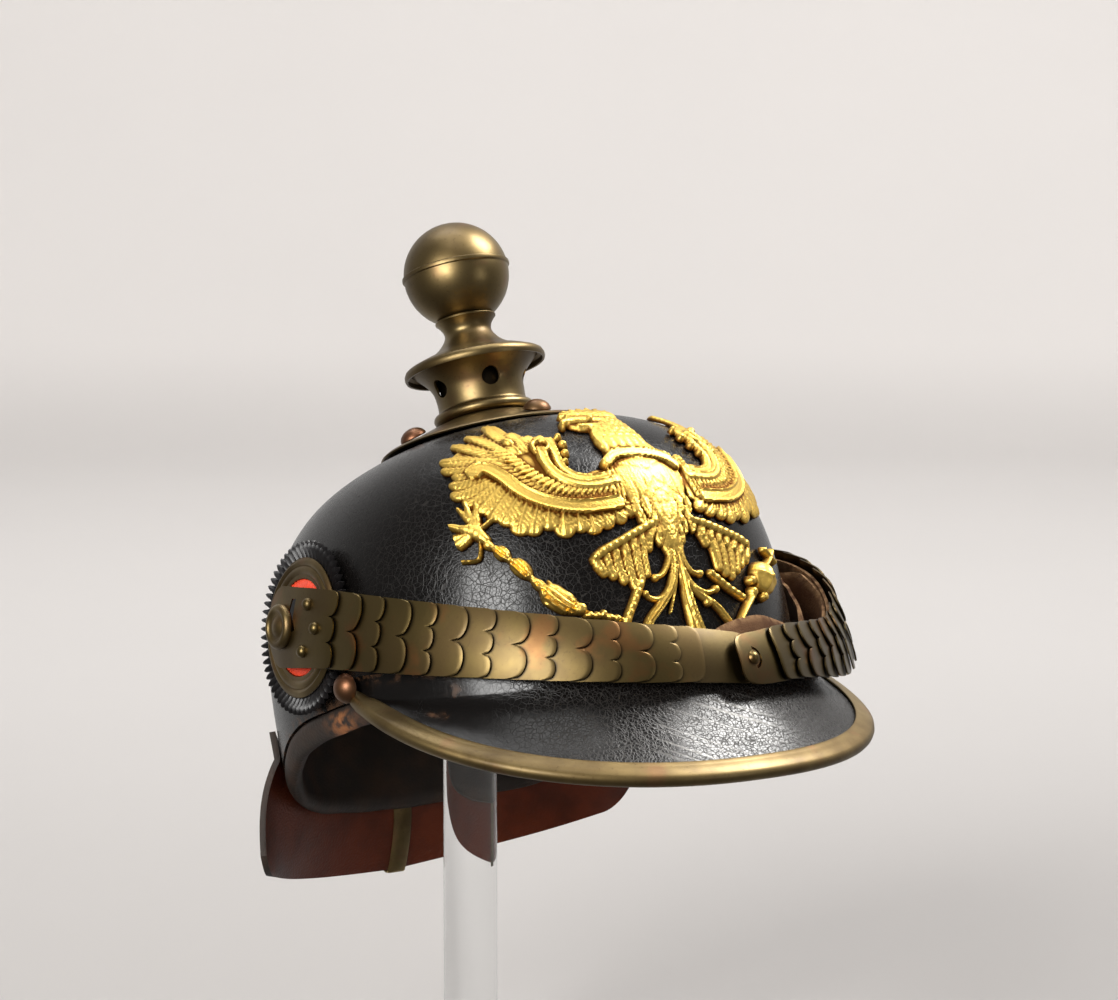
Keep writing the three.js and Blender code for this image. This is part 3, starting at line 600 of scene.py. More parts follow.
def worn_leather(name, main, worn, grain, rough, amount):
    """Tanned leather: matt, with a fine grain, creases and rubbed patches."""
    made, tree, shader, coords = surface(name)
    pores = node(
        tree, "ShaderNodeTexVoronoi", {"Vector": coords, "Scale": per_mm(grain)}, feature="SMOOTH_F1"
    )
    patches, flakes = (
        node(tree, "ShaderNodeTexNoise", {"Vector": coords, "Scale": per_mm(size), "Detail": detail})
        for size, detail in ((15, 6.0), (4, 5.0))
    )
    wear = node(tree, "ShaderNodeAttribute", attribute_name="wear").outputs["Fac"]
    mottled, broken = (
        node(tree, "ShaderNodeMapRange", {"Value": value, "From Min": low, "From Max": high, "To Max": most})
        for value, low, high, most in ((patches, 0.42, 0.66, amount), (flakes, 0.4, 0.6, 1.2))
    )
    share = node(
        tree, "ShaderNodeMath", {0: wear, 1: broken, 2: mottled}, operation="MULTIPLY_ADD", use_clamp=True
    )
    tint = node(tree, "ShaderNodeMix", {0: share, 6: rgba(main), 7: rgba(worn)}, data_type="RGBA")
    height = node(tree, "ShaderNodeMath", {0: pores, 1: patches}, operation="ADD")
    bump = node(tree, "ShaderNodeBump", {"Height": height, "Strength": 0.4, "Distance": 0.0004})
    feed(tree, shader, {"Base Color": tint, "Roughness": rough, "Normal": bump, "Specular IOR Level": 0.2})
    return made


def aged_metal(name, bright, dull, blush, rough, reddened):
    """Sheet metal dulled by age: satin, clouded with tarnish, flushed with copper and lightly pitted; a mark
    on the mesh paints shade into it.
    """
    made, tree, shader, coords = surface(name)
    clouds, flush, specks = (
        node(tree, "ShaderNodeTexNoise", {"Vector": coords, "Scale": per_mm(size), "Detail": detail})
        for size, detail in ((26, 6.0), (17, 4.0), (1.3, 3.0))
    )
    share, spots = (
        node(tree, "ShaderNodeMapRange", {"Value": value, "From Min": low, "From Max": high, "To Max": most})
        for value, low, high, most in ((clouds, 0.38, 0.62, 0.9), (specks, 0.6, 0.74, 0.35))
    )
    dulled = node(tree, "ShaderNodeMath", {0: share, 1: spots}, operation="ADD", use_clamp=True)
    copper = node(
        tree, "ShaderNodeMapRange", {"Value": flush, "From Min": 0.54, "From Max": 0.68, "To Max": reddened},
        interpolation_type="SMOOTHSTEP",
    )
    # painted shade: where the mark is full the metal turns nearly black, under overlapping scale edges and
    # inside the cap's neck; a lower share darkens whole plates
    grime = node(tree, "ShaderNodeAttribute", attribute_name="grime").outputs["Fac"]
    tint = rgba(bright)
    for cover, shade in ((dulled, dull), (copper, blush), (grime, [0.12 * c for c in dull])):
        tint = node(tree, "ShaderNodeMix", {0: cover, 6: tint, 7: rgba(shade)}, data_type="RGBA")
    satin = node(tree, "ShaderNodeMapRange", {"Value": dulled, "To Min": rough, "To Max": rough + 0.14})
    bump = node(tree, "ShaderNodeBump", {"Height": specks, "Strength": 0.06, "Distance": 0.0003})
    feed(tree, shader, {
        "Base Color": tint, "Roughness": satin, "Normal": bump, "Metallic": 1,
        "Coat Weight": 0.3, "Coat Roughness": 0.34,
    })
    return made


def gilt_brass(colours):
    """Stamped and gilt brass: bright on the raised parts, with painted shade darkening its recesses."""
    made, tree, shader, coords = surface("Gilt stamped brass")
    clouds, grain = (
        node(tree, "ShaderNodeTexNoise", {"Vector": coords, "Scale": per_mm(size), "Detail": detail})
        for size, detail in ((6, 5.0), (0.9, 2.0))
    )
    # painted shade: the recess mark, from how far each point lies below the blurred relief, darkens the gilt
    # towards the deep colour
    recess_shade = node(tree, "ShaderNodeAttribute", attribute_name="recess_shade").outputs["Fac"]
    deep = node(
        tree, "ShaderNodeMath", {0: clouds, 1: 0.22, 2: recess_shade}, operation="MULTIPLY_ADD", use_clamp=True
    )
    tint = node(
        tree, "ShaderNodeMix", {0: deep, 6: rgba(colours.gilt), 7: rgba(colours.gilt_deep)}, data_type="RGBA"
    )
    satin = node(tree, "ShaderNodeMapRange", {"Value": deep, "To Min": 0.38, "To Max": 0.6})
    bump = node(tree, "ShaderNodeBump", {"Height": grain, "Strength": 0.6, "Distance": 0.0003})
    feed(tree, shader, {"Base Color": tint, "Roughness": satin, "Normal": bump, "Metallic": 0.95})
    return made


def painted_metal(name, shade, dull, rough):
    """Enamel paint on stamped metal: even, with a little dirt and wear."""
    made, tree, shader, coords = surface(name)
    clouds = node(tree, "ShaderNodeTexNoise", {"Vector": coords, "Scale": per_mm(5), "Detail": 6.0})
    share = node(
        tree, "ShaderNodeMapRange", {"Value": clouds, "From Min": 0.42, "From Max": 0.72, "To Max": 0.7}
    )
    tint = node(tree, "ShaderNodeMix", {0: share, 6: rgba(shade), 7: rgba(dull)}, data_type="RGBA")
    bump = node(tree, "ShaderNodeBump", {"Height": clouds, "Strength": 0.1, "Distance": 0.0004})
    feed(tree, shader, {"Base Color": tint, "Roughness": rough, "Normal": bump})
    return made


def clear_acrylic():
    """Cast acrylic, turned and polished: colourless, with faint swirls in its surface."""
    made, tree, shader, coords = surface("Polished clear acrylic")
    swirl = node(tree, "ShaderNodeTexNoise", {"Vector": coords, "Scale": per_mm(30), "Detail": 2.0})
    bump = node(tree, "ShaderNodeBump", {"Height": swirl, "Strength": 0.04, "Distance": 0.001})
    feed(tree, shader, {
        "Base Color": (0.96, 0.97, 0.97, 1), "Roughness": 0.02, "IOR": 1.49, "Transmission Weight": 1,
        "Normal": bump,
    })
    return made


# Metres up the wall where the paper has its full tone, and the share of it on the floor, where the darker
# tone is painted shade.
PAPER_RISE = 0.12
PAINTED_FLOOR_SHADE = 0.87


def backdrop_paper(shade):
    """Seamless backdrop paper: matt, faintly mottled, and darker with painted shade where it lies flat."""
    made, tree, shader, coords = surface("Backdrop paper")
    mottle = node(tree, "ShaderNodeTexNoise", {"Vector": coords, "Scale": per_mm(400), "Detail": 2.0})
    tint = node(
        tree, "ShaderNodeMix", {0: mottle, 6: rgba(shade), 7: rgba([0.97 * c for c in shade])},
        data_type="RGBA",
    )
    # painted shade: the paper's colour is darkened on the floor and brightens up the wall
    height = node(tree, "ShaderNodeSeparateXYZ", {"Vector": coords}).outputs["Z"]
    tone = node(
        tree, "ShaderNodeMapRange", {"Value": height, "From Max": PAPER_RISE, "To Min": PAINTED_FLOOR_SHADE},
        interpolation_type="SMOOTHSTEP",
    )
    shaded = node(tree, "ShaderNodeVectorMath", {"Vector": tint, "Scale": tone}, operation="SCALE")
    feed(tree, shader, {"Base Color": shaded, "Roughness": 0.95})
    return made


FINISHES = {}


def finish(key):
    """The material of that finish, made on first use."""
    scene = bpy.context.scene
    colours = scene.helmet_colours
    aged = (colours.brass, colours.tarnish, colours.copper)
    makers = {
        "lacquer": (lacquered_leather, scene.helmet_sizes, colours),
        "band": (worn_leather, "Rolled rim leather", colours.band, colours.band_worn, 1.2, 0.55, 0.08),
        "underside": (
            worn_leather, "Waxed brown leather", colours.underside, colours.lacquer, 1.0, 0.4, 0.35),
        "suede": (
            worn_leather, "Suede side of strap leather", colours.suede, colours.suede_edge, 0.7, 0.9, 0.3),
        "brass": (aged_metal, "Aged sheet brass", *aged, 0.36, 0.3),
        "trim_brass": (aged_metal, "Aged brass of the visor channel", *aged, 0.46, 0.3),
        "scale_brass": (
            aged_metal, "Aged brass of the chin scales",
            colours.scale_brass, colours.tarnish, colours.blush, 0.35, 0.45),
        "copper": (
            aged_metal, "Copper-toned brass studs",
            colours.copper, colours.tarnish, colours.copper, 0.4, 0),
        "gilt": (gilt_brass, colours),
        "black": (
            painted_metal, "Black enamelled tin", colours.black, [1.9 * c for c in colours.black], 0.38),
        "red": (painted_metal, "Red enamelled tin", colours.red, [0.7 * c for c in colours.red], 0.6),
        "acrylic": (clear_acrylic,),
        "paper": (backdrop_paper, colours.paper),
    }
    if key not in FINISHES:
        maker, *values = makers[key]
        FINISHES[key] = maker(*values)
    return FINISHES[key]


# Geometry node trees.
def new_tree(name, **inputs):
    """An empty geometry tree with named inputs, its input and its output."""
    tree = bpy.data.node_groups.new(name, "GeometryNodeTree")
    for label, kind in inputs.items():
        tree.interface.new_socket(label, in_out="INPUT", socket_type="NodeSocket" + kind)
    tree.interface.new_socket("Geometry", in_out="OUTPUT", socket_type="NodeSocketGeometry")
    return tree, node(tree, "NodeGroupInput").outputs, node(tree, "NodeGroupOutput")


def end_tree(tree, given, leave, made):
    """Closes a geometry tree: real meshes with the finish on them."""
    real = node(tree, "GeometryNodeRealizeInstances", {"Geometry": made})
    coated = node(tree, "GeometryNodeSetMaterial", {"Geometry": real, "Material": given["Finish"]})
    feed(tree, leave, {0: coated})
    return tree


def heads_tree():
    """A head on each point, turned by the point's attribute."""
    tree, given, leave = new_tree(
        "Heads on points", Points="Geometry", Head="Object", Size="Float", Finish="Material"
    )
    head = node(tree, "GeometryNodeObjectInfo", {"Object": given["Head"]}).outputs["Geometry"]
    turn = node(tree, "GeometryNodeInputNamedAttribute", {"Name": "turn"}, data_type="FLOAT_VECTOR")
    angle = node(tree, "FunctionNodeEulerToRotation", {0: turn})
    made = node(
        tree, "GeometryNodeInstanceOnPoints",
        {"Points": given["Points"], "Instance": head, "Rotation": angle, "Scale": given["Size"]},
    )
    return end_tree(tree, given, leave, made)


def pleats_tree():
    """One pleat repeated round the Z axis."""
    tree, given, leave = new_tree(
        "Pleats round a disc", Points="Geometry", Pleat="Object", Pleats="Int", Finish="Material"
    )
    pleat = node(tree, "GeometryNodeObjectInfo", {"Object": given["Pleat"]}).outputs["Geometry"]
    spots = node(tree, "GeometryNodePoints", {"Count": given["Pleats"]})
    index = node(tree, "GeometryNodeInputIndex")
    share = node(tree, "ShaderNodeMath", {0: index, 1: given["Pleats"]}, operation="DIVIDE")
    angle = node(tree, "ShaderNodeMath", {0: share, 1: 2 * math.pi}, operation="MULTIPLY")
    euler = node(tree, "ShaderNodeCombineXYZ", {"Z": angle})
    turn = node(tree, "FunctionNodeEulerToRotation", {0: euler})
    made = node(
        tree, "GeometryNodeInstanceOnPoints", {"Points": spots, "Instance": pleat, "Rotation": turn}
    )
    return end_tree(tree, given, leave, made)


SCALE_KINDS = {"Plain": 1, "Two lobes": 2, "Three lobes": 3}


def scales_tree():
    """Chin scales on points along a straight chain: a plain edge, two lobes or three lobes."""
    tree, given, leave = new_tree(
        "Scales along a chain", Points="Geometry", **dict.fromkeys(SCALE_KINDS, "Object"), Finish="Material"
    )
    lobes = node(tree, "GeometryNodeInputNamedAttribute", {"Name": "lobes"}, data_type="FLOAT")
    join = node(tree, "GeometryNodeJoinGeometry")
    for label, count in SCALE_KINDS.items():
        scale = node(tree, "GeometryNodeObjectInfo", {"Object": given[label]}).outputs["Geometry"]
        chosen = node(
            tree, "FunctionNodeCompare", {0: lobes, 1: float(count), "Epsilon": 0.1},
            data_type="FLOAT", operation="EQUAL",
        )
        made = node(
            tree, "GeometryNodeInstanceOnPoints",
            {"Points": given["Points"], "Selection": chosen, "Instance": scale},
        )
        feed(tree, join, {0: made})
    return end_tree(tree, given, leave, join)


def grown(name, tree, inputs, points=((0, 0, 0),), marks=None):
    """Plain mesh object of a geometry tree on points with attributes."""
    mesh = bpy.data.meshes.new(name)
    mesh.from_pydata([tuple(p) for p in points], [], [])
    for key, values in (marks or {}).items():
        values = np.asarray(values, float)
        vector = values.ndim == 2
        layer = mesh.attributes.new(key, "FLOAT_VECTOR" if vector else "FLOAT", "POINT")
        layer.data.foreach_set("vector" if vector else "value", values.ravel())
    obj = bpy.data.objects.new(name, mesh)
    bpy.context.scene.collection.objects.link(obj)
    step = obj.modifiers.new("Nodes", "NODES")
    step.node_group = tree
    for socket in tree.interface.items_tree:
        if socket.in_out == "INPUT" and socket.name in inputs:
            step[socket.identifier] = inputs[socket.name]
    plain_mesh(obj)
    for used in inputs.values():
        if isinstance(used, bpy.types.Object):
            bpy.data.objects.remove(used)
    return obj


def heads(name, outline, places, normals, key):
    """Turned heads on points of the helmet, in millimetres."""
    skull = Skull(bpy.context.scene.helmet_sizes)
    points, faces = turned(outline, 28)
    head = shell(name + "_head", points * MM, faces, [])
    turns = [
        Vector((0, 0, 1)).rotation_difference(Vector(skull.turn @ n)).to_euler() for n in normals
    ]
    obj = grown(
        name, heads_tree(), {"Head": head, "Size": 1.0, "Finish": finish(key)},
        skull.world(np.asarray(places, float)), {"turn": np.array(turns)},
    )
    seal(obj.data, SHARP)
    return obj


SKULL_COLUMNS = 240
SKULL_ROWS = 85
# Rubbed places of the lacquer: psi, s, reach along and up the wall, strength.
SCUFFS = ((-52, 1, 7, 6, 0.9), (-50, 9, 4, 3, 0.5), (-75, 14, 8, 5, 0.4), (35, 92, 10, 6, 0.3))


class HELMET_OT_skull(bpy.types.Operator):
    """Leather skull with a slightly uneven wall"""

    bl_idname = "helmet.skull"
    bl_label = "Skull"

    def execute(self, context):
        skull = Skull(context.scene.helmet_sizes)
        psi = np.linspace(0, 360, SKULL_COLUMNS, endpoint=False)[None, :]
        rim = skull.rim(psi)
        rise = np.linspace(0, 1, SKULL_ROWS + 1)[:-1, None]
        s = rim + (skull.top - rim) * rise
        x, y, z = np.moveaxis(skull.skin(psi, s), -1, 0)
        swell = np.sin(x / 13 + z / 17) * np.cos(y / 15 - z / 23)
        outer = skull.on(psi, s, 0.16 * swell - 0.1)
        inner = skull.on(psi, s[::-2], -skull.leather)
        apex = np.array([0, AXIS_Y, skull.crown + CAP_RISE])
        tops = np.broadcast_to(apex, (1, SKULL_COLUMNS, 3))
        rings = np.concatenate([outer, tops, tops - [0, 0, skull.leather], inner])
        wear = np.zeros(rings.shape[:2])
        turn = (psi + 180) % 360 - 180
        for at_psi, at_s, wide, tall, share in SCUFFS:
            gap = (turn - at_psi) / wide
            wear[:SKULL_ROWS] += share * np.exp(-(gap ** 2) - ((s - at_s) / tall) ** 2)
        wear[:SKULL_ROWS] += 0.5 * np.exp(-((s - rim) / 2.5) ** 2)
        craze = 0.2 + 0.28 * np.exp(-((turn + 35) / 40) ** 2) + 0 * wear
        obj = shell(
            "leather_skull", skull.world(rings.reshape(-1, 3)),
            weave(len(rings), SKULL_COLUMNS, True, True), [finish("lacquer")],
            {"wear": wear, "craze": craze}, sharp=60,
        )
        fit(obj, "lacquered_leather", "skull")
        return {"FINISHED"}


BAND_COLUMNS = 300
BAND_ROWS = 60
# Turn of the band's rubbed corner.
BAND_WORN = -86


class HELMET_OT_sweatband(bpy.types.Operator):
    """Sweatband inside the skull, rolled outwards under its edge"""

    bl_idname = "helmet.sweatband"
    bl_label = "Sweatband"

    def execute(self, context):
        skull = Skull(context.scene.helmet_sizes)
        psi = np.linspace(0, 360, BAND_COLUMNS, endpoint=False)[:, None]
        # columns: distance off the skull's outside, height above the rim
        section = [
            (-3.7, 36), (-3.6, 18), (-3.5, 2), (-2.6, -0.5), (-1.0, -0.6), (-0.1, -2.6), (-0.2, -5.6),
            (-1.4, -8.5), (-3.4, -10), (-5.6, -9), (-6.8, -6), (-6.2, -1), (-5.5, 12), (-5.2, 36),
        ]
        line, _ = spline(section, BAND_ROWS)
        out = line[None, :, 0]
        up = line[None, :, 1]
        turn = np.radians(psi)
        crease = 0.22 * np.sin(9 * turn + 0.5 * up) + 0.16 * np.sin(23 * turn - 0.8 * up)
        crease = crease * smooth(-up, -1, 3)
        rings = skull.on(psi, skull.rim(psi) + up + crease, out + 0.5 * crease)
        gap = ((psi + 180) % 360 - 180 - BAND_WORN) / 4
        wear = 0.9 * np.exp(-(gap ** 2)) * smooth(-up, 1, 4) + 0 * out
        obj = shell(
            "rolled_sweatband", skull.world(rings.reshape(-1, 3)),
            weave(BAND_COLUMNS, BAND_ROWS, True, True), [finish("band")], {"wear": wear}, sharp=50,
        )
        fit(obj, "band_leather", "sweatband")
        return {"FINISHED"}


# Rubbed places of the front visor's lacquer: a, b and the reach along and across; middle of the scratches.
VISOR_SCUFFS = ((-0.69, 0.5, 0.014, 0.08), (-0.676, 0.22, 0.014, 0.07), (-0.73, 0.57, 0.01, 0.03))
VISOR_SCRATCH = (-0.05, 0.74)
VISOR_STATIONS = 181
VISOR_ROWS = 46
REAR_STATIONS = 141
REAR_ROWS = 44
# Domed stud of the trim and its places: radius and height, psi, s and distance off the skull.
TRIM_STUD = [(0, 0), (5.6, 0), (5.8, 0.5), (5.5, 1.4), (4.6, 2.8), (3.3, 3.8), (1.7, 4.5), (0, 4.7)]
TRIM_STUD_PSI = np.array([-77, 77])
TRIM_STUD_S = 5
TRIM_STUD_OFF = 7.6


class HELMET_OT_front_visor(bpy.types.Operator):
    """Front visor with its brass channel and the two trim studs"""

    bl_idname = "helmet.front_visor"
    bl_label = "Front Visor"

    def execute(self, context):
        sizes = context.scene.helmet_sizes
        skull = Skull(sizes)
        visor = Visor(skull, front=True)
        a, b, points, faces = visor.sheet(VISOR_STATIONS, VISOR_ROWS)
        wear = 0.9 * np.exp(-((b - 0.02) / 0.04) ** 2) + 0 * a
        for at_a, at_b, wide, tall in VISOR_SCUFFS:
            wear = wear + np.exp(-((a - at_a) / wide) ** 2 - ((b - at_b) / tall) ** 2)
        scratch = np.exp(-((a - VISOR_SCRATCH[0]) / 0.15) ** 4 - ((b - VISOR_SCRATCH[1]) / 0.2) ** 4)
        craze = 0.15 + 0.85 * smooth(a, -0.62, -0.3) + 0 * b
        marks = {
            key: np.concatenate([rows.ravel(), 0 * rows.ravel()])
            for key, rows in (("wear", wear), ("scratch", scratch), ("craze", craze))
        }
        obj = shell(
            "front_visor_leather", skull.world(points), faces, [finish("lacquer")], marks, sharp=60
        )
        soften(obj, 0.7)
        fit(obj, "lacquered_leather", "front_visor")

        a = 0.98 * a[:, 0]
        width = sizes.trim / MM
        under = np.minimum(4, 0.5 * visor.stretches(a)[1])
        # columns: distance inwards from the edge, distance off the leather's middle
        section = [
            (width, 1.7), (width, 2.2), (width - 0.5, 2.5), (width - 1.6, 2.45), (width - 2.4, 2.6),
            (3, 2.8), (1, 2.7), (-0.3, 2.2), (-1.1, 1.1), (-1.3, 0), (-1.1, -1.1), (-0.3, -2.2),
            (0.6, -2.5),
        ]
        run = unit(np.gradient(visor.middle(a, 1), axis=0))
        fall = unit(visor.middle(a, 1) - visor.middle(a, 0.9))
        steep = 1 / np.sqrt(1 - np.minimum(0.75, (run * fall).sum(axis=1) ** 2))
        rings = [visor.edge(a, w * (steep if w > 1 else 1), n) for w, n in section]
        rings += [visor.edge(a, under - w, n) for w, n in ((0.3, -2.5), (0, -2.2), (0, -1.75))]
        rings += [visor.edge(a, w, n) for w, n in ((0, -1.75), (-0.6, -0.9), (-0.6, 0.9), (0, 1.7))]
        points, faces = tube(np.stack(rings, axis=1))
        trim = shell("front_visor_channel", skull.world(points), faces, [finish("trim_brass")], sharp=50)
        fit(trim, "aged_brass", "front_visor_trim")

        places = skull.on(TRIM_STUD_PSI, TRIM_STUD_S, TRIM_STUD_OFF)
        normals = skull.facing(TRIM_STUD_PSI, TRIM_STUD_S)
        studs = heads("trim_studs", TRIM_STUD, places, normals, "copper")
        fit(studs, "copper_stud", "trim_stud_right", "trim_stud_left")
        return {"FINISHED"}


# Half width of the strip over the back, and its gap to the leather.
STRIP_HALF = 4.5
STRIP_GAP = 1.3


class HELMET_OT_rear_visor(bpy.types.Operator):
    """Rear visor, black above and brown below, with the brass strip over the back"""

    bl_idname = "helmet.rear_visor"
    bl_label = "Rear Visor"

    def execute(self, context):
        skull = Skull(context.scene.helmet_sizes)
        visor = Visor(skull, front=False)
        _, _, points, faces = visor.sheet(REAR_STATIONS, REAR_ROWS)
        count = (REAR_STATIONS - 1) * (REAR_ROWS - 1)
        walls = faces[2 * count:]
        faces = faces[:count] + walls + faces[count:2 * count]
        obj = shell(
            "rear_visor_leather", skull.world(points), faces,
            [finish("lacquer"), finish("band"), finish("underside")],
            {"wear": np.zeros(len(points)), "craze": np.full(len(points), 0.12)},
            (count, len(walls), count), sharp=60,
        )
        soften(obj, 0.8)
        fit(obj, "lacquered_leather", "rear_visor")

        half = skull.leather / 2
        face = half + STRIP_GAP
        lip, fall = (float(v) for v in visor.stretches(np.float64(0)))
        path = [skull.on(180, s, STRIP_GAP) for s in np.linspace(skull.top - 47.3, -2, 17)]
        path.append(skull.on(180, -6, visor.lip_off + face - 0.5))
        path += [visor.edge(0, (lip + fall) * f, face) for f in (0.98, 0.7, 0.45, 0.22, 0.03)]
        path += [visor.edge(0, -1.2, 0.6 * face), visor.edge(0, -1.2, -0.6 * face)]
        path += [visor.edge(0, w, -half - 0.55) for w in (1, 8, 15, 23, 30)]
        line, _ = spline(path, 160)
        run = unit(np.gradient(line, axis=0))
        off = np.stack([0 * run[:, 0], run[:, 2], -run[:, 1]], axis=1)
        # columns: share of the half width, distance off the strip's middle
        section = [
            (-1, 0), (-0.86, 0.34), (-0.5, 0.5), (0, 0.56), (0.5, 0.5), (0.86, 0.34), (1, 0),
            (0.8, -0.4), (-0.8, -0.4),
        ]
        rings = [line + off * n + np.array([STRIP_HALF * x, 0, 0]) for x, n in section]
        points, faces = tube(np.stack(rings, axis=1))
        spine = shell("back_strip", skull.world(points), faces, [finish("brass")], sharp=50)
        fit(spine, "aged_brass", "rear_spine")
        return {"FINISHED"}


PLATE_RADIUS = 44.3
STUD_CIRCLE = 36
CROWN_STUD = [(0, 0), (5.2, 0), (5.6, 0.5), (5.4, 1.2), (4.6, 2.5), (3.3, 3.5), (1.7, 4.1), (0, 4.3)]
VENTS = 5
VENT_RADIUS = 3.6
FLANGE_Z = 134.6
FLANGE_RADIUS = 28.8
BALL_Z = 173.1
AXIS = np.array([0, AXIS_Y, 0])


class HELMET_OT_top_fitting(bpy.types.Operator):
    """Base plate with its studs, vented collar, waisted cap and ball"""

    bl_idname = "helmet.top_fitting"
    bl_label = "Top Fitting"

    def execute(self, context):
        sizes = context.scene.helmet_sizes
        skull = Skull(sizes)

        radii = np.linspace(12, PLATE_RADIUS, 40)
        crown = skull.crown_at(radii)
        bead = 0.5 * np.exp(-((radii - 43) / 0.9) ** 2)
        under = np.stack([radii, crown + 0.7], axis=1)
        over = np.stack([radii, crown + 1.7 + bead], axis=1)
        points, faces = turned([*under, (PLATE_RADIUS + 0.5, under[-1, 1] + 0.5), *over[::-1]])
        plate = shell("crown_plate", skull.world(points + AXIS), faces, [finish("brass")])
        fit(plate, "aged_brass", "base_plate")

        turn = np.radians(90 * np.arange(4))
        out = np.stack([np.sin(turn), -np.cos(turn), 0 * turn], axis=1)
        level = float(skull.crown_at(STUD_CIRCLE))
        slope = float(skull.crown_at(STUD_CIRCLE - 2) - skull.crown_at(STUD_CIRCLE + 2)) / 4
        normals = unit(out * slope + np.array([0, 0, 1.0]))
        places = out * STUD_CIRCLE + AXIS + [0, 0, level + 2.2]
        studs = heads("crown_studs", CROWN_STUD, places, normals, "copper")
        fit(studs, "copper_stud", *("base_stud_" + n for n in ("front", "left", "back", "right")))

        foot = float(skull.crown_at(18)) + 2.0
        top = FLANGE_Z - foot + 0.3
        # columns: radius, height above the foot
        outside, _ = spline(
            [(18.6, 0), (20.2, 0.9), (20.6, 2.3), (19.8, 3.8), (18.2, 4.6), (17.9, 6.5), (18, 9.5),
             (18.8, 14), (21.2, 18), (26, top)], 60)
        inside = [(24.9, top + 0.5), (20.2, 18.4), (17.8, 14.4), (17, 9), (17, 0)]
        points, faces = turned([(r, foot + h) for r, h in [*outside, *inside]])
        collar = shell("vented_collar", points * MM, faces, [finish("brass")])
        for i in range(VENTS):
            turn = math.radians(-18 + 360 / VENTS * i)
            way = np.array([math.sin(turn), -math.cos(turn), 0])
            points, faces = turned([(0, 0), (VENT_RADIUS, 0), (VENT_RADIUS, 16), (0, 16)], 40)
            cut(collar, stood(points, way * 12 + [0, 0, foot + 13.4], way) * MM, faces)
        soften(collar, 0.35, 60)
        reshape(collar, skull.world(points_of(collar.data) / MM + AXIS))
        fit(collar, "aged_brass", "vent_collar")

        # columns: radius, height above the flange
        hem = [(-1.0, -2.1), (-0.2, -2.2), (0.2, -1.2), (0.1, 0), (-0.5, 1.2), (-1.6, 1.9)]
        hem = [(FLANGE_RADIUS + r, h) for r, h in hem]
        neck, _ = spline(
            [(27, 1.95), (23, 3.6), (18.5, 5.2), (14.5, 7.3), (11.6, 10), (10, 12.4), (9.6, 14.2),
             (10.2, 16.2), (11.4, 18), (12.1, 18.8)], 52)
        cup = [(12.4, 19), (12.5, 19.4), (12.3, 19.8), (11.7, 19.9)]
        inner = [(9.4, 18.4), (9.0, 17.4), (8.6, 14.6), (8.6, -17), (15.8, -17), (15.8, 5), (17, 5),
                 (23, 2.8), (26.6, 1), (FLANGE_RADIUS - 0.9, 0)]
        points, faces = turned([(r, FLANGE_Z + h) for r, h in [*hem, *neck, *cup, *inner]])
        # painted shade: low inside the neck the brass is coloured nearly black
        shade = (points[:, 2] < FLANGE_Z + 5.5) & (np.hypot(points[:, 0], points[:, 1]) < 16.4)
        cap = shell(
            "collar_cap_and_neck", skull.world(points + AXIS), faces, [finish("brass")],
            {"grime": 0.95 * shade}, sharp=35,
        )
        fit(cap, "aged_brass", "collar_cap")

        radius = sizes.ball / MM
        seam = [(0.15, 0.35), (0.62, 0.6), (0.7, 1.2), (0.6, 1.9), (0.1, 2.2)]
        outline = [
            *self.arc(radius, np.linspace(-74, 0.6, 44)), *((radius + r, BALL_Z + h) for r, h in seam),
            *self.arc(radius, np.linspace(6.4, 90, 48)), *self.arc(radius - 1.8, np.linspace(90, -72, 24)),
        ]
        points, faces = turned(outline)
        ball = shell("ball_finial", skull.world(points + AXIS), faces, [finish("brass")], sharp=35)
        fit(ball, "aged_brass", "ball")
        return {"FINISHED"}

    @staticmethod
    def arc(radius, degrees):
        """Outline of the ball between degrees above its middle, closed where it meets the axis."""
        rise = np.radians(degrees)
        across = np.where(degrees == 90, 0, radius * np.cos(rise))
        return np.stack([across, BALL_Z + radius * np.sin(rise)], axis=1)


# Place of the cockades, radii of their parts, and how far they resist being bent to the skull.
COCKADE_PSI = 92.5
COCKADE_S = 35
STEM = 5
HUB = 12.5
CENTRE = 19.3
RING = 26.4
CENTRE_PLEATS = 52
STIFF = 0.75


def pleat(rows, back, pitch, notch):
    """One open-sided pleat about the X axis: rows of radius, height, ridge and share of the notch."""
    u = np.linspace(-1, 1, 7)
    ridge = np.cos(u * math.pi / 2) ** 1.5
    strips = []
    for turn, share in zip(u * pitch / 2, ridge):
        section = [(r - notch * e * (1 - share), h + d * share) for r, h, d, e in rows]
        section += [(section[-1][0], rows[-1][1] - 0.9), (section[0][0], back)]
        strips.append([(r * math.cos(turn), r * math.sin(turn), h) for r, h in section])
    strips = np.array(strips)
    return strips.reshape(-1, 3), weave(len(u), strips.shape[1], loop_columns=True)


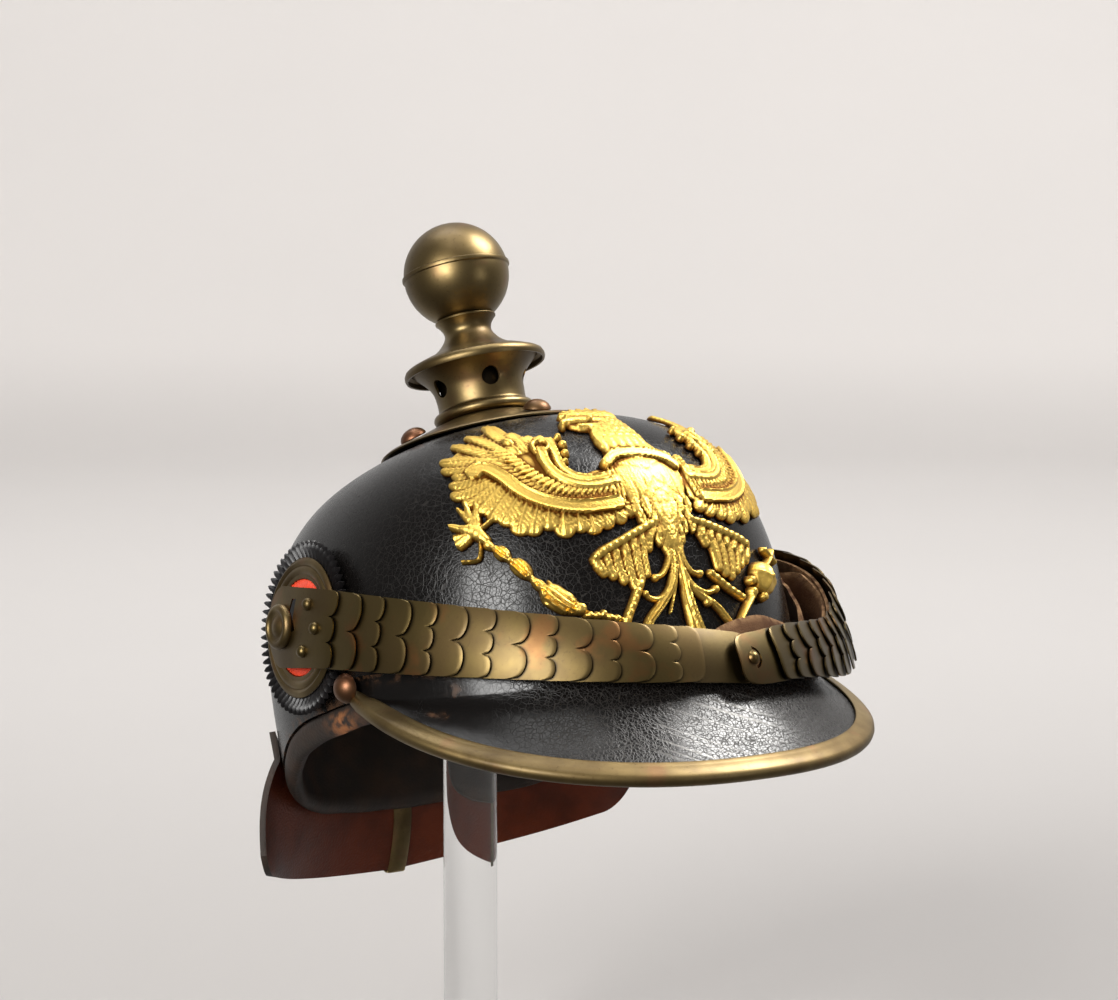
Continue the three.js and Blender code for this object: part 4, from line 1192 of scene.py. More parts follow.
class HELMET_OT_cockades(bpy.types.Operator):
    """Pleated cockades bent to the sides of the skull"""

    bl_idname = "helmet.cockades"
    bl_label = "Cockades"

    def execute(self, context):
        sizes = context.scene.helmet_sizes
        skull = Skull(sizes)
        disc = sizes.cockade / MM
        # columns: distance from the ring's outside, height
        grooves = [
            (0.4, 3.3), (0.5, 3.8), (-0.3, 4.5), (-1.3, 4.9), (-2.2, 4.6), (-2.7, 4.2), (-3.3, 4.7),
            (-4.4, 5), (-5.4, 4.6), (-6, 4.1),
        ]
        grooved = [
            (CENTRE - 0.6, 3), *((RING + r, h) for r, h in grooves), (CENTRE + 0.2, 4.2), (CENTRE - 0.5, 4),
        ]
        # part, finish, pleats, height of its back, depth of its notches;
        # rows of radius, height, ridge and share of the notch
        shapes = (
            ("disc", "black", sizes.pleats, 0.9, 3.4, [
                (STEM, 4.4, 0, 0), (HUB - 0.4, 4.4, 0, 0), (HUB, 1.9, 0, 0), (RING - 1, 2.1, 0.1, 0),
                (RING + 0.6, 1.5, 1.8, 0), (disc - 2.8, 2.0, 2.8, 0.1), (disc - 0.8, 2.5, 2.1, 0.85),
                (disc, 2.7, 1.3, 1),
            ]),
            ("centre", "red", CENTRE_PLEATS, 2.3, 0.3, [
                (HUB + 0.2, 3.6, 0, 0), (HUB + 1, 3.6, 0.5, 0), (CENTRE - 3, 3.3, 1.2, 0),
                (CENTRE - 1, 3.0, 1.1, 1), (CENTRE - 0.7, 3, 0.5, 1),
            ]),
        )
        for side, sign in SIDES:
            for part, key, count, back, notch, rows in shapes:
                points, faces = pleat(rows, back, 2 * math.pi / count, notch)
                template = shell("pleat", points, faces, [])
                obj = grown(
                    "cockade_" + part + "_pleated_" + side, pleats_tree(),
                    {"Pleat": template, "Pleats": count, "Finish": finish(key)},
                )
                self.bend(skull, obj, sign)
                fit(obj, "cockade_" + key, "cockade_" + part + "_" + side)
            points, faces = turned(grooved, 96)
            ring = shell("cockade_bezel_" + side, points, faces, [finish("brass")])
            self.bend(skull, ring, sign)
            fit(ring, "aged_brass", "cockade_ring_" + side)
        return {"FINISHED"}

    @staticmethod
    def bend(skull, obj, sign):
        """Lays a flat round piece on the side of the skull, bent only part of the way to it."""
        x, y, out = points_of(obj.data).T
        psi = sign * COCKADE_PSI
        bent = skull.near(psi, COCKADE_S, x, y, out)
        across, up = (unit(way) for way in skull.ways(psi, COCKADE_S))
        level = skull.skin(psi, COCKADE_S) + np.outer(x, across) + np.outer(y, up)
        level = level + np.outer(out, skull.facing(psi, COCKADE_S))
        reshape(obj, skull.world(bent + STIFF * (level - bent)))


# Paths under the chin scales, from behind the post to the front: psi, s, distance off the skull.
PATHS = {
    "right": [
        (-106, 41.5, 8.6), (-92.5, 35, 8.6), (-80, 28.7, 8.6), (-68, 21, 7.4), (-55, 12.4, 6.8),
        (-42, 4.2, 6.8), (-28, -3.6, 7), (-14, -9.2, 7), (0, -12.6, 7), (11, -15.2, 7),
    ],
    "left": [
        (106, 41.5, 8.6), (92.5, 35, 8.6), (82, 31, 12), (72, 23, 17.4), (62, 11, 19.7),
        (54, -1, 18.9), (46, -8.8, 14.9), (38, -11.5, 11.9), (29, -12.8, 10.3),
        (20, -13.8, 10), (10, -15.5, 10.4), (4, -15.6, 11.4),
    ],
}
# Rows of those paths that the straps follow.
PATH_ROWS = {"right": (2, 8), "left": (2, 11)}
# Slack of the right strap behind the left scales, to and fro: distance from the left post, height, depth.
SLACK = [
    (199, 5, -5), (192, 7, -5), (182, 8.5, -5.2), (170, 8.5, -5.6), (156, 6.5, -6.6), (140, 4.5, -8.6),
    (122, 2.5, -11), (104, 1.5, -12.6), (86, 1, -13), (70, 1.5, -12.6), (60, 2.2, -11.4), (54.5, 2.6, -9),
    (57, 2.4, -6.6), (66, 1.8, -5.4), (84, 0.8, -5), (106, 0, -4.8), (126, 0.4, -4.6), (140, 1.2, -4.6),
]
# Half width of a strap at distances along it.
STRAP_RUN = (0, 70, 105)
STRAP_HALF = (12, 10.4, 9)
STRAP_COLUMNS = 13
POST_OFF = 8.6
END_START = -13
END_LENGTH = 33
END_LIFT = 0.9
END_SLOPE = 0.035
FRONT_LENGTH = {"right": 27, "left": 20}
FRONT_BLUNT = 7.5
BUTTON_INSET = 7
OVERLAP = 4.5
SCALE_THICK = 0.6
SCALE_LIFT = 0.35
SCALE_ARCH = 1.3
BLUNT = 3.5
# Rivets of an end plate: distance from the post, height.
RIVETS = ((18.5, 9), (24.5, 0), (16.5, -9))
# By the lobes of a scale's edge: their depth, and the lobes of the scale above.
LOBE_DEPTH = {2: 5.8, 3: 3.5}
COVERED_BY = {1: 3, 2: 3, 3: 2}
# Least darkening of the scales and of the front plates, on the mark that also carries their painted shadows.
SCALE_DARKENING = {"right": 0, "left": 0.4}
FRONT_DARKENING = 0.38
# Radius and height of the small turned heads.
RIVET = [(0, -0.6), (2.4, -0.6), (2.5, 0.3), (2.3, 1), (1.7, 1.7), (0.9, 2.1), (0, 2.2)]
BUTTON = [(0, 0), (2.4, 0), (2.6, 0.5), (2.2, 1.4), (1.2, 2.1), (0, 2.3)]
POST_STEM = 10.8
# Knob of a post: radius, height above its stem.
KNOB = [
    (3.2, 0), (7.6, -0.1), (8.8, 1.1), (8.7, 2.4), (7.8, 3.5), (6.6, 3.7), (5.6, 3.0), (4.6, 2.7),
    (3.4, 3.2), (1.8, 3.8), (0, 4),
]


def scale_edge(v, edge, lobes, blunt):
    """Free edge of a scale across its width."""
    if lobes == 1:
        return edge - blunt * (1 - np.sqrt(np.maximum(0, 1 - np.abs(v) ** 5)))
    cell = ((v + 1) / 2 * lobes) % 1 * 2 - 1
    cell = np.where(v >= 1, 1, cell)
    return edge + LOBE_DEPTH[lobes] * (np.sqrt(np.maximum(0, 1 - cell ** 2)) ** 0.8 - 0.5)


def scale_plate(start, edge, lobes, lift, rise, rows=24, columns=49, bow=0, blunt=BLUNT, above=None):
    """Flat-laid scale: X along the chain, Y across it as a share of its width, Z off it; and its painted
    shadow under the scale above.
    """
    v = np.linspace(-1, 1, columns)[None, :]
    end = scale_edge(v, edge, lobes, blunt)
    begin = start + bow * (1 - np.sqrt(np.maximum(0, 1 - 0.98 * v ** 2)))
    f = np.linspace(0, 1, rows)[:, None]
    w = begin + (end - begin) * f
    z = lift + rise * (w - start) + SCALE_ARCH * (1 - v ** 2) - 0.2 * smooth(f, 0.94, 1)
    top, under = (np.stack(spread(w, v / 2, h), axis=-1) for h in (z + SCALE_THICK, z))
    grime = 0 * w
    # painted shadow: darkest under the scale above, fading just beyond its lobed edge
    if above:
        gap = w - scale_edge(v, *above, BLUNT)
        grime = 0.9 * np.where(gap < 0, 1, np.exp(-(gap / 0.9) ** 2))
    return *slab(top, under), {"grime": np.concatenate([grime.ravel(), 0 * grime.ravel()])}


class Chain:
    """One side's chain of scales from its post to the front."""

    def __init__(self, sizes, skull, side, sign):
        rows = np.array(PATHS[side])
        self.route = Route(skull.on(rows[:, 0], rows[:, 1], rows[:, 2]), -sign)
        self.begin = self.route.closest(skull.on(sign * COCKADE_PSI, COCKADE_S, POST_OFF))
        self.length = self.route.length - self.begin
        self.widths = (sizes.scale_post / MM, sizes.scale_front / MM)
        self.pitch = (self.length - END_LENGTH - FRONT_LENGTH[side]) / sizes.scales

    def width(self, w):
        """Width of the chain at a distance from the post."""
        return np.interp(w, (0, self.length), self.widths)

    def at(self, w, q, n):
        """Point of the chain's frame."""
        return self.route.at(self.begin + w, q, n)

    def face(self, w):
        """Direction off the chain."""
        return unit(self.at(w, 0, 1) - self.at(w, 0, 0))


class HELMET_OT_chin_scales(bpy.types.Operator):
    """Lobed brass scales, their end and front plates, the posts and the leather under them"""

    bl_idname = "helmet.chin_scales"
    bl_label = "Chin Scales"

    def execute(self, context):
        sizes = context.scene.helmet_sizes
        skull = Skull(sizes)
        for side, sign in SIDES:
            chain = Chain(sizes, skull, side, sign)
            self.scales(sizes, skull, chain, side)
            self.end_plate(skull, chain, side)
            self.front_plate(skull, chain, side)
            self.post(skull, side, sign)
            self.strap(sizes, skull, side, sign)
        return {"FINISHED"}

    @staticmethod
    def bend(skull, chain, obj, shares):
        """Bends a flat-laid plate to the chain; shares says that its widths are shares."""
        w, q, n = points_of(obj.data).T
        across = q * chain.width(w) if shares else q
        reshape(obj, skull.world(chain.at(w, across, n)))

    def scales(self, sizes, skull, chain, side):
        """Overlapping scales with two and three lobes in turn, the last one plain."""
        rise = (SCALE_THICK + 0.9) / chain.pitch
        templates = {}
        for label, lobes in SCALE_KINDS.items():
            above = (-chain.pitch, COVERED_BY[lobes])
            points, faces, marks = scale_plate(
                -chain.pitch - OVERLAP, 0, lobes, SCALE_LIFT, rise, above=above)
            # the left chain is darkened as a whole, beside its painted shadows
            marks["grime"] = np.maximum(marks["grime"], SCALE_DARKENING[side])
            templates[label] = shell("scale", points, faces, [], marks)
        index = np.arange(1, sizes.scales + 1)
        ends = END_LENGTH + index * chain.pitch
        lobes = np.where(index == sizes.scales, 1, 2 + (index + 1) % 2)
        places = np.stack([ends, 0 * ends, 0 * ends], axis=1)
        obj = grown(
            "chin_scales_" + side, scales_tree(), {**templates, "Finish": finish("scale_brass")}, places,
            {"lobes": lobes},
        )
        self.bend(skull, chain, obj, True)
        fit(obj, "aged_brass", *("scale_" + side + "_" + str(k).zfill(2) for k in index))

    def end_plate(self, skull, chain, side):
        """Lobed plate with a keyhole round the post and three rivets."""
        points, faces, _ = scale_plate(END_START, END_LENGTH, 3, END_LIFT, END_SLOPE, 30, 61, 11)
        points[:, 1] *= chain.width(points[:, 0])
        obj = shell("end_plate_lobed_" + side, points, faces, [finish("scale_brass")])
        cut(obj, *turned([(0, -6), (5.1, -6), (5.1, 9), (0, 9)], 40))
        grid = np.array([[(2, -4), (4, 3), (6.4, 11)], [(10.6, -1), (8.6, 3.5), (9.6, 11)]], float)
        grid = np.concatenate([grid, np.full((2, 3, 1), 9.0)], axis=2)
        cut(obj, *slab(grid, grid - [0, 0, 15]))
        self.bend(skull, chain, obj, False)
        fit(obj, "aged_brass", "end_plate_" + side)
        places = []
        for w, q in RIVETS:
            arch = SCALE_ARCH * (1 - (2 * q / chain.width(w)) ** 2)
            places.append(chain.at(w, q, END_LIFT + END_SLOPE * (w - END_START) + arch + SCALE_THICK))
        normals = [chain.face(w) for w, _ in RIVETS]
        rivets = heads("end_plate_rivets_" + side, RIVET, places, normals, "scale_brass")
        fit(rivets, "aged_brass")

    def front_plate(self, skull, chain, side):
        """Plain plate with a rounded end, buttoned on the left side."""
        start = chain.length - FRONT_LENGTH[side] - OVERLAP
        # painted shadow where the last scale lies over the plate, and a darker tone over the whole plate
        points, faces, marks = scale_plate(
            start, chain.length, 1, SCALE_LIFT, 0, 48, 61, 0, FRONT_BLUNT, (start + OVERLAP, 1))
        points[:, 1] *= chain.width(points[:, 0])
        marks["grime"] = np.maximum(marks["grime"], FRONT_DARKENING)
        obj = shell("front_plate_rounded_" + side, points, faces, [finish("scale_brass")], marks)
        at_button = chain.length - BUTTON_INSET
        if side == "left":
            turn = np.radians(np.linspace(100, 260, 17))
            ring = np.stack([np.cos(turn), np.sin(turn), 0 * turn], axis=1)
            tool = np.stack([3.3 * ring, 4.5 * ring]) + [at_button, 0, 6]
            cut(obj, *slab(tool, tool - [0, 0, 12]))
        self.bend(skull, chain, obj, False)
        fit(obj, "aged_brass", "front_plate_" + side)
        if side == "left":
            button = heads(
                "front_plate_button", BUTTON, [chain.at(at_button, 0, 1.9)], [chain.face(at_button)],
                "scale_brass")
            fit(button, "aged_brass")

    def post(self, skull, side, sign):
        """Post through the cockade with a dished round knob."""
        knob, _ = spline([(r, POST_STEM + h) for r, h in KNOB], 60)
        knob[-1, 0] = 0
        points, faces = turned([(0, 0), (3, 0), (3, POST_STEM - 0.2), *knob], 72)
        seat = skull.on(sign * COCKADE_PSI, COCKADE_S, 0.5)
        points = stood(points, seat, skull.facing(sign * COCKADE_PSI, COCKADE_S))
        obj = shell("scale_knob_" + side, skull.world(points), faces, [finish("brass")])
        fit(obj, "aged_brass", "scale_post_" + side)

    def strap(self, sizes, skull, side, sign):
        """Leather strap under the scales; the right one's slack is folded to and fro."""
        psi, s, out = np.array(PATHS[side][slice(*PATH_ROWS[side])]).T
        places = skull.on(psi, s, out - 1.2)
        if side == "right":
            places = np.vstack([places, Chain(sizes, skull, "left", 1).at(*np.array(SLACK, float).T)])
        route = Route(places, -sign)
        steps = int(route.length / 1.5)
        w = np.linspace(0, route.length, steps)[:, None]
        v = np.linspace(-1, 1, STRAP_COLUMNS)[None, :]
        half = np.interp(w, STRAP_RUN, STRAP_HALF)
        wave = 0.25 * np.sin(w / 6.1 + 1.7 * v) * v
        front = route.at(w + 0 * v, v * half, 1.1 - 0.5 * v ** 6 + wave)
        back = route.at(w + 0 * v, v * half, -1.1 + 0.5 * v ** 6 + wave)
        points, faces = slab(front, back)
        wear = np.broadcast_to(0.9 * smooth(np.abs(v), 0.7, 1), (steps, STRAP_COLUMNS)).ravel()
        obj = shell(
            "strap_leather_" + side, skull.world(points), faces, [finish("suede")],
            {"wear": np.concatenate([wear, wear])}, sharp=50,
        )
        fit(obj, "strap_leather", "strap_" + side)


class Relief:
    """Low relief drawn flat on the front of the skull, in millimetres."""

    STEP = 0.458
    # thickness at the edge, reach of its rounding, depth at which a recess gets its full painted shade,
    # steps over which it is told
    EDGE = 0.35
    ROUND = 0.9
    DEEP = 0.36
    BLUR = 3
    # sides of a cell: step to its neighbour, corners of the wall between them
    WALLS = (
        (-1, 0, (0, 0), (0, 1)), (1, 0, (1, 1), (1, 0)), (0, -1, (1, 0), (0, 0)), (0, 1, (0, 1), (1, 1)),
    )

    def __init__(self, skull):
        self.skull = skull
        self.turns = np.linspace(-80, 80, 641)
        self.arc = distances(skull.skin(self.turns, 0))
        self.arc -= self.arc[len(self.arc) // 2]
        self.x = np.arange(-84, 84.1, self.STEP)
        self.y = np.arange(-8, 118.1, self.STEP)
        shape = (len(self.y), len(self.x))
        self.inside = np.full(shape, -9.0)
        self.height = np.zeros(shape)

    def flat(self, line):
        """Flat places of psi and s."""
        psi, s = np.asarray(line, float).T
        return np.stack([np.interp(psi, self.turns, self.arc) * self.skull.dome(s)[1], s], axis=1)

    def window(self, points, margin):
        """Rows and columns around some flat points, and the places in them."""
        low = points.min(axis=0) - margin
        high = points.max(axis=0) + margin
        columns = slice(*np.searchsorted(self.x, (low[0], high[0])))
        rows = slice(*np.searchsorted(self.y, (low[1], high[1])))
        return (rows, columns), *np.meshgrid(self.x[columns], self.y[rows])

    def lay(self, window, inside, height):
        """Adds a form to the relief where it stands highest."""
        self.inside[window] = np.maximum(self.inside[window], inside)
        shown = np.where(inside > 0, np.maximum(self.height[window], height), self.height[window])
        self.height[window] = shown

    def stroke(self, line, widths, level, crown, marks=None):
        """A band along a line of psi and s."""
        self.band(self.flat(line), widths, level, crown, marks)

    def row(self, line, count, reach, width, level):
        """Short feathers side by side along a line; reach is their run in millimetres at its two ends."""
        roots, _ = spline(self.flat(line), count)
        for share, root in zip(np.linspace(0, 1, count), roots):
            run = (1 - share) * np.array(reach[0]) + share * np.array(reach[1])
            widths = (0.85 * width, width, 0.5 * width)
            self.band([root, root + run / 2, root + run], widths, level, 0.12, vanes)

    @staticmethod
    def nearest(x, y, p, d):
        """Share along the flat line from p by d that lies nearest to each place, and the way from there."""
        t = np.clip(((x - p[0]) * d[0] + (y - p[1]) * d[1]) / (d @ d), 0, 1)
        return t, x - p[0] - t * d[0], y - p[1] - t * d[1]

    def band(self, line, widths, level, crown, marks):
        """A flat line's band that ends at its last point, with a crowned section and marks across it."""
        flat = np.array(line, float)
        tip = flat[-1] - flat[-2]
        flat[-1] -= tip * min(0.8, widths[-1] / 2 / np.linalg.norm(tip))
        points, run = spline(flat, max(8, int(distances(flat)[-1] / 1.4)))
        half = np.interp(np.linspace(0, 1, len(points)), np.linspace(0, 1, len(widths)), widths) / 2
        window, x, y = self.window(points, half.max() + 1.5)
        best = np.full(x.shape, -9.0)
        along = np.zeros(x.shape)
        side = np.zeros(x.shape)
        reach = np.ones(x.shape)
        step = run / (len(points) - 1)
        for i, (p, q) in enumerate(zip(points, points[1:])):
            d = q - p
            t, ox, oy = self.nearest(x, y, p, d)
            radius = half[i] + (half[i + 1] - half[i]) * t
            inside = radius - np.hypot(ox, oy)
            new = inside > best
            best = np.where(new, inside, best)
            along = np.where(new, (i + t) * step, along)
            side = np.where(new, (d[0] * oy - d[1] * ox) / np.linalg.norm(d) / radius, side)
            reach = np.where(new, np.hypot(ox, oy) / radius, reach)
        height = level + crown * (1 - np.minimum(1, reach) ** 2)
        if marks:
            height = height + marks(along, side, run)
        self.lay(window, best, height)

    def dot(self, psi, s, radius, level, crown, marks=None):
        """A round boss with marks on it."""
        at = self.flat([(psi, s)])
        window, x, y = self.window(at, radius + 1.5)
        gap = np.hypot(x - at[0, 0], y - at[0, 1])
        dome = np.sqrt(np.maximum(0, 1 - (gap / radius) ** 2))
        height = level + crown * dome
        if marks:
            height = height + dome * marks((x - at[0, 0]) / radius, (y - at[0, 1]) / radius)
        self.lay(window, radius - gap, height)

    def fill(self, line, level):
        """A flat field inside an outline."""
        points = self.flat(line)
        window, x, y = self.window(points, 2)
        gap = np.full(x.shape, 1e9)
        odd = np.zeros(x.shape, bool)
        for p, q in zip(points, np.roll(points, -1, axis=0)):
            d = q - p
            _, ox, oy = self.nearest(x, y, p, d)
            gap = np.minimum(gap, np.hypot(ox, oy))
            crosses = (p[1] > y) != (q[1] > y)
            lean = d[0] * (y - p[1]) / (d[1] if d[1] else 1e-9) + p[0]
            odd ^= crosses & (x < lean)
        self.lay(window, np.where(odd, gap, -gap), level + 0 * x)

    def shell(self, off):
        """Closed plate of the relief in the helmet's frame, and how deep each point lies, as the mask of its
        painted shade.
        """
        step = self.STEP
        corner = self.inside
        middle = (corner[:-1, :-1] + corner[1:, :-1] + corner[:-1, 1:] + corner[1:, 1:]) / 4
        cells = middle > 0
        for _ in range(2):
            first = cells[:-1, :-1] & cells[1:, 1:] & ~cells[1:, :-1] & ~cells[:-1, 1:]
            second = cells[1:, :-1] & cells[:-1, 1:] & ~cells[:-1, :-1] & ~cells[1:, 1:]
            cells[1:, :-1] |= first
            cells[:-1, :-1] |= second
        count = np.zeros(corner.shape, int)
        for rows, columns in ((0, 0), (0, 1), (1, 0), (1, 1)):
            count[rows:rows + cells.shape[0], columns:columns + cells.shape[1]] += cells
        border = (count > 0) & (count < 4)
        gy, gx = np.gradient(corner, step)
        size = np.maximum(np.hypot(gx, gy), 0.4)
        x, y = np.meshgrid(self.x, self.y)
        move = np.where(border, np.clip(-corner, -0.6 * step, 0.6 * step), 0) / size
        x = x + gx / size * move
        y = y + gy / size * move
        rounded = np.sqrt(np.clip(corner / self.ROUND, 0, 1))
        raised = np.maximum(self.height, self.EDGE) - self.EDGE
        tall = np.where(border, self.EDGE, self.EDGE + raised * rounded)
        blur = tall
        reach = self.BLUR
        span = 2 * reach + 1
        for _ in range(3):
            wide = np.pad(blur, reach, mode="edge")
            blur = sum(wide[reach:-reach, i:i + blur.shape[1]] for i in range(span)) / span
            wide = np.pad(blur, reach, mode="edge")
            blur = sum(wide[i:i + blur.shape[0], reach:-reach] for i in range(span)) / span
        # painted shade mask: how far each point lies below the blurred relief
        deep = np.clip((blur - tall) / self.DEEP, 0, 1)
        used = count > 0
        number = np.cumsum(used.ravel()).reshape(used.shape) - 1
        psi = np.interp(x / np.maximum(self.skull.dome(y)[1], 0.05), self.arc, self.turns)
        front = self.skull.on(psi[used], y[used], off + tall[used])
        back = self.skull.on(psi[used], y[used], np.full(used.sum(), off))
        r, c = np.nonzero(cells)
        quads = np.stack([number[r, c], number[r, c + 1], number[r + 1, c + 1], number[r + 1, c]], axis=1)
        total = len(front)
        faces = quads.tolist() + (quads[:, ::-1] + total).tolist()
        padded = np.pad(cells, 1)
        for dr, dc, a, b in self.WALLS:
            open_side = ~padded[r + 1 + dr, c + 1 + dc]
            p = number[r[open_side] + a[0], c[open_side] + a[1]]
            q = number[r[open_side] + b[0], c[open_side] + b[1]]
            faces += np.stack([q, p, p + total, q + total], axis=1).tolist()
        return np.concatenate([front, back]), faces, np.concatenate([deep[used], np.ones(total)])


def barbs(along, side, run):
    """Vein and barbs of a feather that lies over its neighbour."""
    vein = 0.3 * np.exp(-(side / 0.1) ** 2)
    comb = 0.13 * np.cos(2 * math.pi * (along / 1.9 - 1.5 * np.abs(side))) * smooth(np.abs(side), 0.1, 0.3)
    return vein + comb + 0.42 * side


def vanes(along, side, run):
    """Vein and barbs of a short feather that lifts towards its tip over the next one."""
    vein = 0.2 * np.exp(-(side / 0.12) ** 2)
    comb = 0.08 * np.cos(2 * math.pi * (along / 1.6 - 1.3 * np.abs(side)))
    return vein + comb + 0.3 * side + 0.3 * along / run - 0.1


def hoops(u, v):
    """Crossed bands round an orb."""
    return sum(0.9 * np.exp(-((a * u + b * v) / 0.14) ** 2) for a, b in ((0.5, 0.87), (0.87, -0.5)))


def borders(along, side, run):
    """Raised borders of a bare banner."""
    return 0.75 * np.exp(-((np.abs(side) - 0.82) / 0.13) ** 2)


def rails(along, side, run):
    """Two raised lines along the arm of a wing."""
    return 0.5 * np.exp(-((np.abs(side) - 0.55) / 0.2) ** 2) - 0.2


def down(along, side, run):
    """Small overlapping feathers of the neck and the belly."""
    row = np.floor(along / 2.1)
    u = (side * 3 + 0.5 * (row % 2)) % 1 * 2 - 1
    v = (along / 2.1) % 1
    return 0.5 * np.maximum(0, 1 - u ** 2) * (0.35 + 0.65 * v)


def plumage(along, side, run):
    """Shallow overlapping feathers of the breast."""
    row = np.floor(along / 4.4)
    u = (side * 3.4 + 0.5 * (row % 2)) % 1 * 2 - 1
    v = (along / 4.4 + 0.4 * u ** 2) % 1
    return 0.1 * np.exp(-(u / 0.16) ** 2) + 0.34 * v ** 2 * np.maximum(0, 1 - u ** 4) - 0.06


def ribs(along, side, run):
    """Rounded ribs across the top of a thigh."""
    return 0.45 * np.abs(np.cos(math.pi * along / 2.9)) - 0.2


def ridges(along, side, run):
    """Three ridges along a strap."""
    return 0.45 * np.cos(3 * math.pi * side)


def veins(along, side, run):
    """Ridges that spread along a leaf."""
    return 0.55 * np.cos(5 * math.pi * side + along / 2.5)


# Right wing seen from its own side; lines are psi and s, the wearer's right turned to the left.
WING_FIELD = [
    (22.8, 86), (26.8, 88.4), (31.3, 92), (35.3, 98), (38.5, 103), (43, 99), (47, 92.5), (50, 87),
    (50, 81.6), (47.5, 76), (47.6, 69.9), (46.5, 65.7), (42.5, 60), (40, 56), (37, 52.5), (35, 49.5),
    (32.5, 48.5), (29.4, 48), (25.8, 46), (22.6, 46), (19.3, 45), (15.2, 46), (11.8, 47.5), (8, 50.8),
    (8, 60), (11, 66), (14.4, 66.9), (17.9, 65.8), (20.7, 67.2), (21.9, 70.1), (21.8, 75.3), (21.3, 81.6),
]
# Feathers round the wing, from its root at the top to its tip and on to the breast: width, root to tip.
FEATHERS = [
    (4.7, [(28.2, 83), (27.5, 91.2)]),
    (4.3, [(25.5, 82), (24.4, 89.8)]),
    (3.9, [(23.6, 81), (22, 87.6)]),
    (4.9, [(29.7, 83), (32.1, 96)]),
    (6.0, [(32, 83), (35.2, 95), (38.6, 108.5)]),
    (6.0, [(34, 82), (39.3, 92.7), (45.6, 102)]),
    (6.4, [(35.4, 79.6), (41.7, 87.7), (49.8, 97)]),
    (6.9, [(37.5, 79.3), (44.9, 83.3), (52.6, 86.4)]),
    (5.0, [(40.1, 77.7), (45.5, 78.8), (51.9, 81.2)]),
    (4.6, [(42.2, 75.2), (45.6, 75.5), (49, 76.2)]),
    (5.0, [(41.6, 72.3), (46.2, 71.8), (49.6, 71.8)]),
    (5.2, [(40.6, 69.5), (45.9, 67.3), (49.3, 66.6)]),
    (5.4, [(39, 67.4), (43.8, 63.1), (46.6, 61.8)]),
    (6.6, [(37.5, 65.9), (41.3, 60.8), (43.6, 57)]),
    (6.8, [(35.7, 62.9), (39.2, 57.2), (41.3, 53)]),
    (6.8, [(34.2, 60.1), (37, 54.2), (38.8, 49.8)]),
    (7.4, [(32.5, 57.5), (34.6, 50.4), (35.9, 44.6)]),
    (6.8, [(30.5, 54.9), (32.1, 48.6), (33.1, 43.4)]),
    (6.2, [(28.2, 53.2), (29, 48.3), (29.5, 44.2)]),
    (7.8, [(25.4, 51.7), (25.8, 45.6), (26.1, 40.2)]),
    (6.4, [(22.5, 50.5), (22.4, 45.4), (22.3, 41.8)]),
    (7.3, [(19.8, 50.1), (19.6, 44.6), (19.4, 39.9)]),
    (6.2, [(17, 49.7), (16.5, 45), (15.7, 41.8)]),
    (5.8, [(14.8, 49.8), (13.2, 46), (11.5, 43.6)]),
    (5.0, [(12, 50), (10.2, 47.4), (9, 46)]),
]
# Rows of feathers between the banner and the arm: line, feathers, level.
COVERTS = [
    ([(37.6, 79.4), (34.4, 74.5), (31.2, 67.4), (27.6, 61.9), (23.6, 58.2), (18.8, 56.8), (12, 58)],
     24, 1.5),
    ([(34.8, 83), (31.8, 76.2), (29, 69), (26, 64), (22.6, 61.2), (18, 60.4), (12, 61.6)], 22, 1.9),
]
# Shoulder, arm, volute, banner and the fold beside the breast: line, widths, level, crown, marks.
WING_BANDS = [
    ([(23, 83.5), (22.9, 75.7), (22.6, 69.8), (20.1, 64.9), (16, 62.9), (10, 63.8)],
     (3.8, 4.2, 3.6), 1.6, 0.5, rails),
    ([(26.1, 79.7), (26.3, 74.7), (25.3, 68.7), (23.2, 64.2), (19.9, 60.9), (16.1, 59.9), (10, 60.8)],
     (4.2, 4.8, 4.4), 2.2, 0.6, rails),
    ([(27.9, 79.6), (27.9, 83.2), (26.1, 85), (24.3, 83.7), (24.1, 80.3), (25.6, 78.5), (26.4, 80.6)],
     (1.5, 1.5, 1.3), 2.7, 0.6),
    ([(43.3, 74.6), (41.5, 76.2), (39.8, 75), (36.5, 69.2), (33.6, 62.6), (30.2, 57.4), (25.7, 53.4),
      (21.5, 51.3), (16.9, 50.7), (11, 51.1)], (5.6, 5.8, 5.6), 2.6, 0.15, borders),
    ([(11.6, 52.6), (11.2, 58), (10.9, 65.4), (10.3, 71.1)], (5, 5.2, 4.6), 1.5, 0.5, ridges),
]
# Beads along the wing's inner edge: psi, s, radius.
PEARLS = [(20.3, 86.4, 1.6), (20.1, 81.4, 1.9), (20.6, 76.4, 1.8), (21.4, 72.2, 1.5)]


def mirrored(line, sign):
    """A line of psi and s on its own side, or on the other."""
    return [(sign * psi, s) for psi, s in line]


def wing(relief, sign):
    """One spread wing: feathers, coverts, the arm with its volute, and a bare banner across it."""
    relief.fill(mirrored(WING_FIELD, sign), 0.8)
    for width, line in FEATHERS:
        relief.stroke(mirrored(line, sign), (width, 1.32 * width, 1.1 * width), 1.2, 0.5, barbs)
    for line, count, level in COVERTS:
        relief.row(mirrored(line, sign), count, ((6 * sign, 1.2), (2.8 * sign, -6)), 2.3, level)
    for line, *form in WING_BANDS:
        relief.stroke(mirrored(line, sign), *form)
    relief.dot(sign * 33.8, 88, 2, 1.8, 1.6)
    for psi, s, radius in PEARLS:
        relief.dot(sign * psi, s, radius, 1.2, 1.9)


